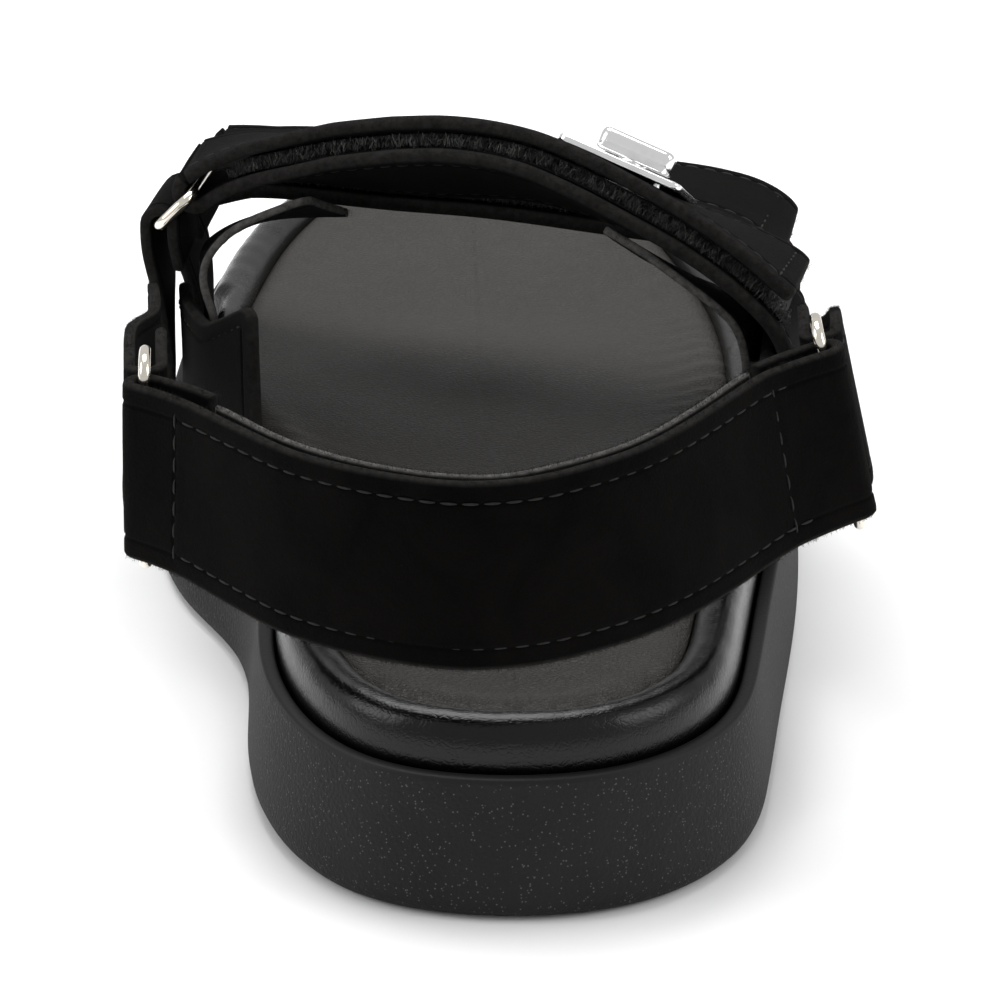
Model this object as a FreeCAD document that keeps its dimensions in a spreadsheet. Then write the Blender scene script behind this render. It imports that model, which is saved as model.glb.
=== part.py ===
"""Strappy sport sandal, right foot.

The frame: millimetres, +Z up, +Y towards the toe, +X towards the outer (lateral) side.
The origin is on the ground under the middle of the heel seat.

Shape points are written on a master last and graded to the size made, as a shoemaker
grades a pattern: grade_x, grade_y and grade_z stretch the points of every outline and
strap line, while thicknesses, strap widths, rings and the clasp keep their own sizes.
"""
import FreeCAD, Part
import Sketcher
import math
import os

V = FreeCAD.Vector
UP = V(0, 0, 1)

# ---------------------------------------------------------------- driving sizes (mm)
SIZES = [
    ("sole_length", 265.0, "overall length of the sole"),
    ("ball_width", 102.0, "width of the sole across the ball"),
    ("instep_height", 82.2, "top of the instep strap above the ground"),
    ("strap_rise", 0.135, "how fast the upper climbs from the heel to the toe"),
    ("heel_seat", 37.0, "from the back of the heel to the middle of the heel seat"),
    ("rim_height", 20.5, "top of the cup rim above the ground"),
    ("rim_flare", 1.6, "how far the rim leans in from bottom to lip"),
    ("lip_thick", 2.3, "thickness of the rim at its lip"),
    ("tread_base", 6.0, "outsole thickness under the midsole, lugs included"),
    ("tread_depth", 2.0, "depth of the tread grooves"),
    ("tread_groove", 3.0, "width of a tread groove"),
    ("tread_pitch", 14.0, "distance from groove to groove"),
    ("toe_spring", 5.0, "how far the toe lifts off the ground"),
    ("board_thick", 1.2, "insole board thickness"),
    ("board_level", 14.0, "underside of the insole board"),
    ("footbed_level", 25.7, "footbed surface at the heel"),
    ("cover_thick", 1.6, "leather footbed cover thickness"),
    ("roll_width", 7.3, "width of the rolled footbed edge"),
    ("roll_height", 7.2, "how far the roll stands above the cup rim"),
    ("quarter_thick", 2.0, "suede quarter thickness"),
    ("lining_thick", 1.3, "lining thickness"),
    ("strap_width", 26.0, "width of the three straps"),
    ("band_thick", 2.2, "thickness of the instep and toe straps"),
    ("suede_thick", 1.7, "suede thickness of heel strap and tabs"),
    ("tape_thick", 1.25, "thickness of each half of the hook and loop tape"),
    ("tape_inset", 2.5, "distance from strap edge to tape edge"),
    ("play", 0.35, "gap between pieces that move against each other"),
    ("wire_diameter", 1.75, "ring wire"),
    ("ring_pitch", 7.6, "distance between the two bars of a ring"),
    ("ring_reach", 1.4, "gap from the strap edge to the end of the ring"),
    ("clasp_length", 20.0, "clasp plate length along the strap"),
    ("clasp_breadth", 24.0, "clasp plate width across the strap"),
    ("clasp_thick", 1.2, "clasp plate thickness"),
    ("toggle_length", 12.0, "turn button length"),
    ("toggle_breadth", 5.0, "turn button width"),
    ("toggle_thick", 3.5, "turn button height"),
    ("neck_diameter", 5.0, "turn button neck"),
    ("neck_height", 0.8, "visible neck between plate and button"),
    ("pin_diameter", 3.0, "pin of the turn button"),
    ("post_diameter", 1.4, "rivet posts of the clasp"),
    ("backing_thick", 0.5, "clasp backing plate thickness"),
]
MASTER_LENGTH = 288.0
MASTER_BALL = 110.0
MASTER_INSTEP = 80.0
MASTER_INSTEP_PLACE = 113.0

doc = FreeCAD.newDocument("sandal")
sheet = doc.addObject("Spreadsheet::Sheet", "sizes")
for row, (alias, value, note) in enumerate(SIZES, start=1):
    sheet.set("A%d" % row, note)
    sheet.set("B%d" % row, str(value))
    sheet.setAlias("B%d" % row, alias)
doc.recompute()
size = {alias: float(sheet.get(alias)) for alias, _, _ in SIZES}

grade_x = size["ball_width"] / MASTER_BALL
grade_y = size["sole_length"] / MASTER_LENGTH
climb = size["strap_rise"] * MASTER_INSTEP_PLACE * grade_y
grade_z = (size["instep_height"] - climb) / MASTER_INSTEP
width_squash = 0.934
half_strap = size["strap_width"] / 2
fold_inner = size["tape_thick"] + size["play"] / 2
wire_radius = size["wire_diameter"] / 2
tab_inner = wire_radius + 0.45
skin = 0.08


def at(x, y, z):
    """A point of the master last, graded and moved to the sandal's frame."""
    return V(x * grade_x, y * grade_y - size["heel_seat"], z * grade_z)


def on_upper(x, y, z):
    """A point of the upper, which climbs towards the toe."""
    return at(x, y, z) + UP * (size["strap_rise"] * y * grade_y)


def pitched(width):
    """A strap's width direction on the climbing upper."""
    x, y, z = width
    return V(x, y, z * width_squash + size["strap_rise"] * y)


def unit(vector):
    result = V(vector)
    result.normalize()
    return result


def keep(name, shape):
    """Stores a finished solid as a sub-part of the document."""
    solid = shape.removeSplitter() if shape.ShapeType == "Compound" else shape
    if solid.ShapeType == "Compound" and len(solid.Solids) == 1:
        solid = solid.Solids[0]
    feature = doc.addObject("Part::Feature", name)
    feature.Label = name
    feature.Shape = solid
    return feature


# ---------------------------------------------------------------- sole outline
OUTLINE = [
    (-2, 0), (20, 5), (34.5, 21.5), (40, 45), (42.7, 68), (46.5, 100), (49.5, 145), (48.5, 190),
    (38, 240), (12, 284), (-18, 286), (-46, 254), (-57, 212), (-60.5, 170), (-60, 140),
    (-54.5, 117), (-46, 97), (-42, 77), (-41, 54), (-37, 30.5), (-22, 6.5),
]


def spline(points, closed=False):
    curve = Part.BSplineCurve()
    curve.interpolate(Points=points, PeriodicFlag=closed)
    return curve


master_outline = spline([at(x, y, 0) for x, y in OUTLINE], closed=True)


def outline(inset, height, count=44):
    """The sole's outline moved in by inset, as a closed curve at one height."""
    first, last = master_outline.FirstParameter, master_outline.LastParameter
    points = []
    for step in range(count):
        u = first + (last - first) * step / count
        inward = UP.cross(master_outline.tangent(u)[0])
        points.append(master_outline.value(u) + inward * inset + V(0, 0, height))
    return Part.Wire([spline(points, closed=True).toShape()])


def prism(bottom_inset, top_inset, bottom, top):
    """A solid between two insets of the outline."""
    return Part.makeLoft([outline(bottom_inset, bottom), outline(top_inset, top)], True, True)


def side_slab(points, x_low=-90, x_high=90):
    """A profile of the side view, (distance from heel, height), extruded across the sandal."""
    corners = [V(x_low, y * grade_y - size["heel_seat"], z) for y, z in points]
    wire = Part.makePolygon(corners + corners[:1])
    return Part.Face(wire).extrude(V(x_high - x_low, 0, 0))


def ground_slab():
    """Everything above the ground line: flat to the ball, then lifting with the toe spring."""
    spring = [(212 + 16 * k, size["toe_spring"] * (k / 5.0) ** 2) for k in range(6)]
    return side_slab([(-40, 0)] + spring + [(330, 90), (-40, 90)])


# ---------------------------------------------------------------- sole
rim = size["rim_height"]
cavity_inset = size["rim_flare"] + size["lip_thick"]
stack_inset = cavity_inset + 0.4
quarter_outer = cavity_inset + 0.3
quarter_inner = quarter_outer + size["quarter_thick"]
lining_inner = quarter_inner + skin + size["lining_thick"]
# how far the slots reach in past the quarters, and past the wings that stand inside them
quarter_room = 1.5
wing_room = 3.6
roll_inner = stack_inset + size["roll_width"]


def cup_outsole():
    """The rubber cup: tread, wall and lip in one piece."""
    edge = Part.makeLoft([outline(2.2, 0), outline(0.7, 0.7), outline(0, 2.4)], True, True)
    wall = prism(0, size["rim_flare"], 2.4, rim)
    cavity = prism(cavity_inset, cavity_inset, size["tread_base"], rim + 10)
    cup = edge.fuse(wall).common(ground_slab()).cut(cavity)
    grooves = []
    heel_end = 14 * grade_y - size["heel_seat"]
    lanes = int((size["sole_length"] - 40) // size["tread_pitch"])
    for lane in range(lanes):
        place = heel_end + lane * size["tread_pitch"]
        if abs(place + size["tread_groove"] / 2) < size["tread_groove"] + 3:
            continue
        groove = Part.makeBox(160, size["tread_groove"], size["tread_depth"] + 1)
        groove.translate(V(-80, place, -1))
        grooves.append(groove)
    inner = prism(9, 9, -2, size["tread_depth"])
    tread = Part.makeCompound(grooves).common(inner)
    return cup.cut(tread).removeSplitter()


def footbed_height(x, y):
    """Height of the footbed surface: heel bowl, arch on the inner side, pad behind the toes."""
    arch = 4.2 * math.exp(-((x + 40) / 22.0) ** 2 - ((y - 82) / 44.0) ** 2)
    bowl = 0.0011 * x * x * math.exp(-((y - 20) / 60.0) ** 2)
    pad = 1.6 * math.exp(-((x + 4) / 20.0) ** 2 - ((y - 112) / 22.0) ** 2)
    ball = -1.5 * math.exp(-((y - 150) / 40.0) ** 2)
    return size["footbed_level"] + arch + bowl + pad + ball


def below_footbed(drop):
    """Everything under the footbed surface lowered by drop."""
    columns, rows = 9, 15
    low_y, high_y = -size["heel_seat"] - 12, size["sole_length"] - size["heel_seat"] + 12
    half = size["ball_width"] * 0.72
    grid = []
    for i in range(columns):
        x = -half + 2 * half * i / (columns - 1)
        line = []
        for j in range(rows):
            y = low_y + (high_y - low_y) * j / (rows - 1)
            line.append(V(x, y, footbed_height(x, y) - drop))
        grid.append(line)
    surface = Part.BSplineSurface()
    surface.interpolate(grid)
    return surface.toShape().extrude(V(0, 0, -60))


def cup_wall():
    """The room of the cup's wall and a skin inside it, which the toe tab is pared back to."""
    outside = prism(-5, -5, size["tread_base"], rim)
    clear = cavity_inset + skin
    return outside.cut(prism(clear, clear, size["tread_base"] - 1, rim + 1))


def quarter_slots():
    """The slots beside the footbed that the quarters and wings go down into."""
    block = prism(cavity_inset - 1, cavity_inset - 1, 8, 60)
    narrow = block.cut(prism(lining_inner + quarter_room, lining_inner + quarter_room, 7, 61))
    wide = block.cut(prism(lining_inner + wing_room, lining_inner + wing_room, 7, 61))
    medial = side_slab([(96.5, 0), (96.5, 90), (196, 90), (196, 0)], -90, 0)
    lateral = side_slab([(86.5, 0), (86.5, 90), (166, 90), (166, 0)], 0, 90)
    medial_wing_room = side_slab([(116, 0), (116, 90), (149, 90), (149, 0)], -90, 0)
    lateral_wing_room = side_slab([(97, 0), (97, 90), (128, 90), (128, 0)], 0, 90)
    wings = wide.common(medial_wing_room.fuse(lateral_wing_room))
    return narrow.common(medial.fuse(lateral)).fuse(wings)


def midsole_filler():
    body = prism(stack_inset, stack_inset, size["tread_base"] + skin, size["board_level"] - skin)
    return body.cut(quarter_slots())


def insole_board():
    low, high = size["board_level"], size["board_level"] + size["board_thick"]
    return prism(stack_inset, stack_inset, low, high).cut(quarter_slots())


def footbed_foam():
    low = size["board_level"] + size["board_thick"] + skin
    block = prism(roll_inner + skin, roll_inner + skin, low, 50)
    return block.common(below_footbed(size["cover_thick"] + skin))


def footbed_cover():
    block = prism(roll_inner + skin, roll_inner + skin, 10, 50)
    return block.common(below_footbed(0)).cut(below_footbed(size["cover_thick"]))


def footbed_roll():
    """The padded leather roll round the footbed: a closed chain of skins between outlines."""
    low = size["board_level"] + size["board_thick"] + skin
    high = size["roll_height"]
    crest = rim + high
    wide = size["roll_width"]
    stations = [
        (stack_inset, low), (stack_inset, crest - 0.55 * high),
        (stack_inset + 0.16 * wide, crest - 0.16 * high),
        (stack_inset + 0.42 * wide, crest),
        (stack_inset + 0.72 * wide, crest - 0.08 * high),
        (stack_inset + 0.95 * wide, crest - 0.2 * high),
        (roll_inner, crest - 0.36 * high), (roll_inner, low),
    ]
    rings = [outline(inset, height) for inset, height in stations]
    faces = []
    for index, ring in enumerate(rings):
        following = rings[(index + 1) % len(rings)]
        faces.append(Part.makeRuledSurface(ring.Edges[0], following.Edges[0]))
    shell = Part.makeShell(faces)
    shell.sewShape()
    solid = Part.Solid(shell)
    if solid.Volume < 0:
        solid.reverse()
    return solid.cut(quarter_slots())


# ---------------------------------------------------------------- quarters
def quarter(profile, x_low, x_high):
    """A side wall standing in its slot, cut to its side-view profile."""
    outer = prism(quarter_outer, quarter_outer - 0.6, 8, 60)
    inner = prism(quarter_inner, quarter_inner - 0.6, 7, 61)
    return outer.cut(inner).common(side_slab(profile, x_low, x_high))


def rounded_profile(corners, radius):
    """Cuts each corner of a side-view profile back to three points of a soft curve."""
    result = []
    for index, (y, z) in enumerate(corners):
        before = corners[index - 1]
        after = corners[(index + 1) % len(corners)]
        to_before = math.hypot(before[0] - y, before[1] - z)
        to_after = math.hypot(after[0] - y, after[1] - z)
        cut = min(radius, 0.4 * to_before, 0.4 * to_after)
        start = (y + (before[0] - y) * cut / to_before, z + (before[1] - z) * cut / to_before)
        end = (y + (after[0] - y) * cut / to_after, z + (after[1] - z) * cut / to_after)
        middle = (0.25 * start[0] + 0.5 * y + 0.25 * end[0], 0.25 * start[1] + 0.5 * z + 0.25 * end[1])
        result += [start, middle, end]
    return result


def medial_quarter():
    foot = size["board_level"] - 2
    top = [(99, 56.7), (119, 46.6), (128, 46.4), (150, 44), (161, 34)]
    return quarter(rounded_profile([(99, foot)] + top + [(161, foot)], 5), -90, 0)


def lateral_quarter():
    foot = size["board_level"] - 2
    top = [(89, 46.6), (95, 49.2), (116, 51.5), (126, 43.5), (154, 40), (163, 31)]
    return quarter(rounded_profile([(89, foot)] + top + [(163, foot)], 5), 0, 90)


# ---------------------------------------------------------------- straps as ribbons
class Ribbon:
    """A strap line through named points, with the strap's width direction at each of them.

    The points lie on the strap's rear edge (edge=True) or on its middle line.
    """

    def __init__(self, points, across, width, edge=True):
        self.width = width
        self.across = [unit(w) for w in across]
        self.knots = [0.0]
        for before, after in zip(points, points[1:]):
            self.knots.append(self.knots[-1] + (after - before).Length)
        self.length = self.knots[-1]
        shift = width / 2 if edge else 0.0
        centres = [p + w * shift for p, w in zip(points, self.across)]
        self.centre = Part.BSplineCurve()
        self.centre.interpolate(Points=centres, Parameters=self.knots)

    def width_direction(self, u):
        """Width direction at distance u, turning evenly between the named points."""
        index = 0
        while index < len(self.knots) - 2 and u > self.knots[index + 1]:
            index += 1
        share = (u - self.knots[index]) / (self.knots[index + 1] - self.knots[index])
        return unit(self.across[index] * (1 - share) + self.across[index + 1] * share)

    def frame(self, u):
        """Centre, direction square to the width, width direction and normal at distance u."""
        across = self.width_direction(u)
        normal = unit(self.centre.tangent(u)[0].cross(across))
        return self.centre.value(u), across.cross(normal), across, normal

    def section(self, u, low, high, width):
        centre, _, across, normal = self.frame(u)
        corners = [
            centre - across * (width / 2) + normal * low,
            centre + across * (width / 2) + normal * low,
            centre + across * (width / 2) + normal * high,
            centre - across * (width / 2) + normal * high,
        ]
        return Part.makePolygon(corners + corners[:1])

    def layer(self, start, end, low, high, width=None, end_width=None, count=18):
        """One layer of the strap between two distances, from low to high along the normal."""
        first = self.width if width is None else width
        last = first if end_width is None else end_width
        wires = []
        for step in range(count + 1):
            share = step / count
            breadth = first + (last - first) * share
            wires.append(self.section(start + (end - start) * share, low, high, breadth))
        return Part.makeLoft(wires, True, False)

    def fold(self, u, heading, inner, thick, near_leg=0.0, far_leg=0.0):
        """Half turn round a bar at distance u; heading is +1 at the start, -1 at the end."""
        centre, tangent, across, normal = self.frame(u)
        return bent_fold(centre, tangent * heading, across, normal, inner, thick,
                         near_leg, far_leg, self.width)


def bent_fold(centre, leg, across, normal, inner, thick, near_leg, far_leg, width):
    """A strap end turned round a bar: half a tube with a leg on each side of it."""
    outer = inner + thick

    def spot(along, side):
        return centre + leg * along + normal * side - across * (width / 2)

    inner_turn = Part.Arc(spot(0, inner), spot(-inner, 0), spot(0, -inner))
    outer_turn = Part.Arc(spot(0, -outer), spot(-outer, 0), spot(0, outer))
    edges = [inner_turn, *leg_edges(spot, far_leg, -inner, -outer), outer_turn]
    edges += leg_edges(spot, near_leg, outer, inner)
    wire = Part.Wire([edge.toShape() for edge in edges])
    return Part.Face(wire).extrude(across * width)


def leg_edges(spot, length, first, last):
    """Outline of one straight leg of a fold; a leg of no length is one end line."""
    if length == 0:
        return [Part.LineSegment(spot(0, first), spot(0, last))]
    return [
        Part.LineSegment(spot(0, first), spot(length, first)),
        Part.LineSegment(spot(length, first), spot(length, last)),
        Part.LineSegment(spot(length, last), spot(0, last)),
    ]


def strap_line(stations, width, edge=True):
    """A strap line from stations written on the master last."""
    return Ribbon([on_upper(*p) for p, _ in stations], [pitched(w) for _, w in stations], width, edge)


band = size["band_thick"]
flap_low = fold_inner
strap_low = -fold_inner - band

INSTEP_BAR = (0.08, 0.96, -0.26)
instep_line = strap_line([
    ((-52.3, 130, 56.6), INSTEP_BAR),
    ((-46.0, 128.0, 61.5), (0.14, 0.93, -0.34)),
    ((-39.0, 125.2, 65.3), (0.20, 0.88, -0.44)),
    ((-29.3, 121.0, 69.9), (0.26, 0.80, -0.54)),
    ((-20.0, 116.6, 73.3), (0.30, 0.75, -0.59)),
    ((-12.4, 113.3, 75.2), (0.30, 0.74, -0.60)),
    ((-5.0, 110.4, 75.9), (0.30, 0.74, -0.60)),
    ((3.0, 107.5, 75.2), (0.30, 0.74, -0.60)),
    ((13.0, 103.7, 72.0), (0.28, 0.77, -0.57)),
    ((26.5, 98.7, 65.8), (0.24, 0.84, -0.48)),
    ((35.0, 95.4, 60.6), (0.20, 0.90, -0.38)),
    ((42.6, 92.6, 53.8), (0.15, 0.95, -0.26)),
    ((46.4, 91.5, 46.0), (0.12, 0.98, -0.12)),
    ((47.0, 91.0, 33.0), (0.10, 0.99, -0.13)),
    ((46.6, 91.0, 15.0), (0.10, 0.99, -0.13)),
], size["strap_width"])
TOE_BAR = (0.10, 0.97, -0.20)
toe_line = strap_line([
    ((-51.5, 165.0, 40.0), TOE_BAR),
    ((-45.0, 161.5, 43.6), (0.16, 0.95, -0.27)),
    ((-34.0, 154.5, 46.6), (0.22, 0.94, -0.26)),
    ((-20.0, 147.5, 48.4), (0.29, 0.92, -0.24)),
    ((-8.0, 143.0, 49.6), (0.32, 0.91, -0.24)),
    ((5.0, 138.6, 50.2), (0.32, 0.91, -0.24)),
    ((18.0, 134.0, 50.4), (0.29, 0.92, -0.24)),
    ((30.3, 129.6, 50.2), (0.24, 0.94, -0.24)),
    ((37.0, 127.2, 48.4), (0.20, 0.95, -0.22)),
    ((43.0, 125.4, 43.6), (0.14, 0.98, -0.16)),
    ((48.4, 124.4, 36.0), (0.08, 0.99, -0.10)),
    ((49.4, 124.0, 24.0), (0.04, 1.0, -0.14)),
    ((49.4, 124.0, 10.0), (0.04, 1.0, -0.14)),
], size["strap_width"])

instep_flap_end = instep_line.knots[11]
clasp_station = instep_line.knots[8]
toe_flap_end = toe_line.knots[9]


def strap_lower(line):
    """Lower run of a strap: from its stitched foot over the foot and round the ring."""
    run = line.layer(0, line.length, strap_low, -fold_inner, count=26)
    return run.fuse(line.fold(0, 1, fold_inner, band)).removeSplitter()


def strap_flap(line, end):
    """Upper run of a strap: from just past the ring back over the lower run to its free end."""
    return line.layer(size["play"], end, flap_low, flap_low + band, count=20)


def loop_tape(line, end):
    width = line.width - 2 * size["tape_inset"]
    return line.layer(7, end + 2, -fold_inner + 1.6 * skin, -size["play"] / 2, width, count=18)


def hook_tape(line, end):
    width = line.width - 2 * size["tape_inset"]
    return line.layer(9, end - 3, size["play"] / 2, fold_inner - 1.6 * skin, width, count=18)


lateral_wing_line = strap_line([
    ((38.4, 101, 2), (0.12, 0.99, -0.14)),
    ((38.6, 99, 22), (0.12, 0.99, -0.14)),
    ((38.4, 97, 41), (0.14, 0.97, -0.12)),
    ((35.6, 95.6, 50.6), (0.20, 0.90, -0.34)),
    ((29.0, 97.6, 56.2), (0.24, 0.84, -0.46)),
    ((21.5, 100.5, 61.2), (0.28, 0.77, -0.56)),
    ((14.0, 103.3, 65.2), (0.30, 0.74, -0.60)),
], size["strap_width"] - 2)
medial_wing_line = strap_line([
    ((-46.4, 119, 0), (-0.20, 0.97, -0.14)),
    ((-47.4, 121, 18), (-0.18, 0.98, -0.14)),
    ((-49.8, 123.5, 36), (-0.12, 0.98, -0.14)),
    ((-51.4, 125.8, 44), (0.0, 0.96, -0.26)),
    ((-47.6, 126.2, 50.8), (0.14, 0.92, -0.34)),
    ((-40.6, 124.4, 56.2), (0.22, 0.87, -0.44)),
    ((-33.4, 122.0, 60.6), (0.27, 0.80, -0.53)),
], size["strap_width"] - 2)


def wing(line, side):
    """Soft inner wing under the instep strap, from the footbed slot to its free end."""
    low, high = (-size["lining_thick"], 0) if side < 0 else (0, size["lining_thick"])
    return line.layer(0, line.length, low, high, line.width, line.width * 0.86, count=20)


# ---------------------------------------------------------------- heel strap and tabs
HEEL_BAR_MEDIAL = (0.02, 0.0, 1.0)
HEEL_BAR_LATERAL = (-0.21, 0.0, 0.98)
MEDIAL_REAR_BAR = (-55.0, 41.0, 54.6)
LATERAL_REAR_BAR = (49.6, 49.0, 56.4)


heel_line = strap_line([
    (MEDIAL_REAR_BAR, HEEL_BAR_MEDIAL),
    ((-46.9, 34.0, 55.5), (0.03, 0.0, 1.0)),
    ((-37.9, 23.7, 56.2), (0.04, 0.04, 0.99)),
    ((-26.4, 13.2, 56.7), (0.05, 0.08, 0.99)),
    ((-14.7, 7.9, 57.0), (0.03, 0.11, 0.99)),
    ((-5.0, 6.2, 57.0), (0.0, 0.12, 0.99)),
    ((4.0, 8.2, 57.0), (-0.03, 0.12, 0.99)),
    ((14.2, 13.5, 56.9), (-0.07, 0.12, 0.99)),
    ((26.8, 25.5, 56.6), (-0.12, 0.10, 0.98)),
    ((38.3, 40.2, 56.4), (-0.17, 0.06, 0.98)),
    (LATERAL_REAR_BAR, HEEL_BAR_LATERAL),
], size["strap_width"], edge=False)

suede = size["suede_thick"]


def heel_strap():
    """Outer suede of the heel strap, turned in round a ring at each end."""
    run = heel_line.layer(0, heel_line.length, tab_inner, tab_inner + suede, count=30)
    medial = heel_line.fold(0, 1, tab_inner, suede, 0, 11)
    lateral = heel_line.fold(heel_line.length, -1, tab_inner, suede, 0, 11)
    return run.fuse([lateral, medial]).removeSplitter()


def heel_strap_lining():
    low = tab_inner - size["lining_thick"]
    end = heel_line.length - 15
    return heel_line.layer(15, end, low, tab_inner - skin, size["strap_width"] + 1.0, count=24)


medial_heel_tab_line = strap_line([
    ((-55.3, 48.2, 54.6), HEEL_BAR_MEDIAL),
    ((-55.8, 54, 54.3), (0.02, 0.10, 0.99)),
    ((-56.6, 66, 51.2), (0.02, 0.22, 0.97)),
    ((-56.8, 86, 43.8), (0.02, 0.28, 0.96)),
    ((-55.6, 104, 37.6), (0.02, 0.26, 0.96)),
    ((-56.6, 121, 34.6), (0.0, 0.12, 0.99)),
], size["strap_width"], edge=False)
lateral_heel_tab_line = strap_line([
    ((49.6, 56.2, 56.4), HEEL_BAR_LATERAL),
    ((49.8, 61.5, 56.0), (-0.20, 0.10, 0.97)),
    ((49.4, 70, 52.0), (-0.16, 0.24, 0.95)),
    ((47.4, 80, 45.0), (-0.12, 0.32, 0.94)),
    ((45.6, 89, 39.4), (-0.06, 0.30, 0.95)),
], size["strap_width"], edge=False)


def heel_tab(line, side, end_width):
    """Tab from the quarter to the ring's front bar, with a short inner return."""
    low, high = (tab_inner, tab_inner + suede) if side > 0 else (-tab_inner - suede, -tab_inner)
    run = line.layer(0, line.length, low, high, line.width, end_width, count=14)
    near, far = (0, 10) if side > 0 else (10, 0)
    return run.fuse(line.fold(0, 1, tab_inner, suede, near, far)).removeSplitter()


# ---------------------------------------------------------------- rings
def ring_body(name):
    """A wire ring: a rounded rectangle swept by a round wire, long side along its own X."""
    body = doc.addObject("PartDesign::Body", name)
    body.Label = name
    planes = {f.Role: f for f in body.Origin.OriginFeatures}
    path = body.newObject("Sketcher::SketchObject", name + "_path")
    path.AttachmentSupport = [(planes["XY_Plane"], "")]
    path.MapMode = "FlatFace"
    half_long = half_strap + size["ring_reach"] + wire_radius
    half_short = size["ring_pitch"] / 2
    corner = min(2.8, half_short - 0.3)
    straight_x = half_long - corner
    straight_y = half_short - corner
    lines = [
        (V(-straight_x, -half_short, 0), V(straight_x, -half_short, 0)),
        (V(half_long, -straight_y, 0), V(half_long, straight_y, 0)),
        (V(straight_x, half_short, 0), V(-straight_x, half_short, 0)),
        (V(-half_long, straight_y, 0), V(-half_long, -straight_y, 0)),
    ]
    middles = [
        (straight_x, -straight_y, -90), (straight_x, straight_y, 0),
        (-straight_x, straight_y, 90), (-straight_x, -straight_y, 180),
    ]
    for index, (start, end) in enumerate(lines):
        path.addGeometry(Part.LineSegment(start, end), False)
        x, y, angle = middles[index]
        circle = Part.Circle(V(x, y, 0), UP, corner)
        begin = math.radians(angle)
        path.addGeometry(Part.ArcOfCircle(circle, begin, begin + math.pi / 2), False)
    profile = body.newObject("Sketcher::SketchObject", name + "_wire")
    profile.AttachmentSupport = [(planes["YZ_Plane"], "")]
    profile.MapMode = "FlatFace"
    profile.addGeometry(Part.Circle(V(-half_short, 0, 0), UP, wire_radius), False)
    profile.addConstraint(Sketcher.Constraint("Radius", 0, wire_radius))
    profile.setExpression("Constraints[0]", "sizes.wire_diameter / 2")
    pipe = body.newObject("PartDesign::AdditivePipe", name + "_pipe")
    pipe.Profile = profile
    pipe.Spine = path
    path.Visibility = False
    return body


def place(body, centre, long_axis, short_axis):
    """Puts a body so that its own X and Y follow two directions."""
    x_axis = unit(long_axis)
    y_axis = unit(short_axis - x_axis * short_axis.dot(x_axis))
    z_axis = x_axis.cross(y_axis)
    matrix = FreeCAD.Matrix(
        x_axis.x, y_axis.x, z_axis.x, centre.x,
        x_axis.y, y_axis.y, z_axis.y, centre.y,
        x_axis.z, y_axis.z, z_axis.z, centre.z,
        0, 0, 0, 1)
    body.Placement = FreeCAD.Placement(matrix)


def place_ring(body, line, u, away):
    """Hangs a ring by one bar on a strap line; away points from that bar to the other."""
    centre, _, across, _ = line.frame(u)
    direction = unit(away - across * away.dot(across))
    place(body, centre + direction * (size["ring_pitch"] / 2), across, direction)
    return centre + direction * size["ring_pitch"], across


# ---------------------------------------------------------------- ring tabs on the quarter
def ring_tab(bar, across, down_points, return_leg):
    """Suede tab round a ring's outer bar: outer leg down to the sandal, short return inside."""
    foot_across = V(-0.08, 1, 0)
    reach = (down_points[-1] - bar).Length
    shares = [(point - bar).Length / reach for point in [bar] + down_points]
    directions = [across * (1 - share) + foot_across * share for share in shares]
    line = Ribbon([bar] + down_points, directions, size["strap_width"], edge=False)
    run = line.layer(0, line.length, -tab_inner - suede, -tab_inner, count=12)
    return run.fuse(line.fold(0, 1, tab_inner, suede, return_leg, 0)).removeSplitter()


# ---------------------------------------------------------------- clasp
def plate_body(name, length_alias, breadth_alias, thick_alias, corner):
    """A flat plate with rounded corners, its underside on its own XY plane."""
    body = doc.addObject("PartDesign::Body", name)
    body.Label = name
    planes = {f.Role: f for f in body.Origin.OriginFeatures}
    sketch = body.newObject("Sketcher::SketchObject", name + "_outline")
    sketch.AttachmentSupport = [(planes["XY_Plane"], "")]
    sketch.MapMode = "FlatFace"
    a, b = size[length_alias] / 2, size[breadth_alias] / 2
    corners = [V(-a, -b, 0), V(a, -b, 0), V(a, b, 0), V(-a, b, 0)]
    for index in range(4):
        sketch.addGeometry(Part.LineSegment(corners[index], corners[(index + 1) % 4]), False)
    for index in range(4):
        sketch.addConstraint(Sketcher.Constraint("Coincident", index, 2, (index + 1) % 4, 1))
    sketch.addConstraint(Sketcher.Constraint("Horizontal", 0))
    sketch.addConstraint(Sketcher.Constraint("Horizontal", 2))
    sketch.addConstraint(Sketcher.Constraint("Vertical", 1))
    sketch.addConstraint(Sketcher.Constraint("Vertical", 3))
    sketch.addConstraint(Sketcher.Constraint("Symmetric", 0, 1, 1, 2, -1, 1))
    width = sketch.addConstraint(Sketcher.Constraint("DistanceX", 0, 1, 0, 2, 2 * a))
    height = sketch.addConstraint(Sketcher.Constraint("DistanceY", 1, 1, 1, 2, 2 * b))
    sketch.setExpression("Constraints[%d]" % width, "sizes." + length_alias)
    sketch.setExpression("Constraints[%d]" % height, "sizes." + breadth_alias)
    pad = body.newObject("PartDesign::Pad", name + "_pad")
    pad.Profile = sketch
    pad.Length = size[thick_alias]
    pad.setExpression("Length", "sizes." + thick_alias)
    doc.recompute()
    upright = []
    for number, edge in enumerate(pad.Shape.Edges, start=1):
        start, end = edge.Vertexes[0].Point, edge.Vertexes[-1].Point
        if abs((end - start).z) > 0.5 * size[thick_alias]:
            upright.append("Edge%d" % number)
    fillet = body.newObject("PartDesign::Fillet", name + "_corners")
    fillet.Base = (pad, upright)
    fillet.Radius = corner
    return body


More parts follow.
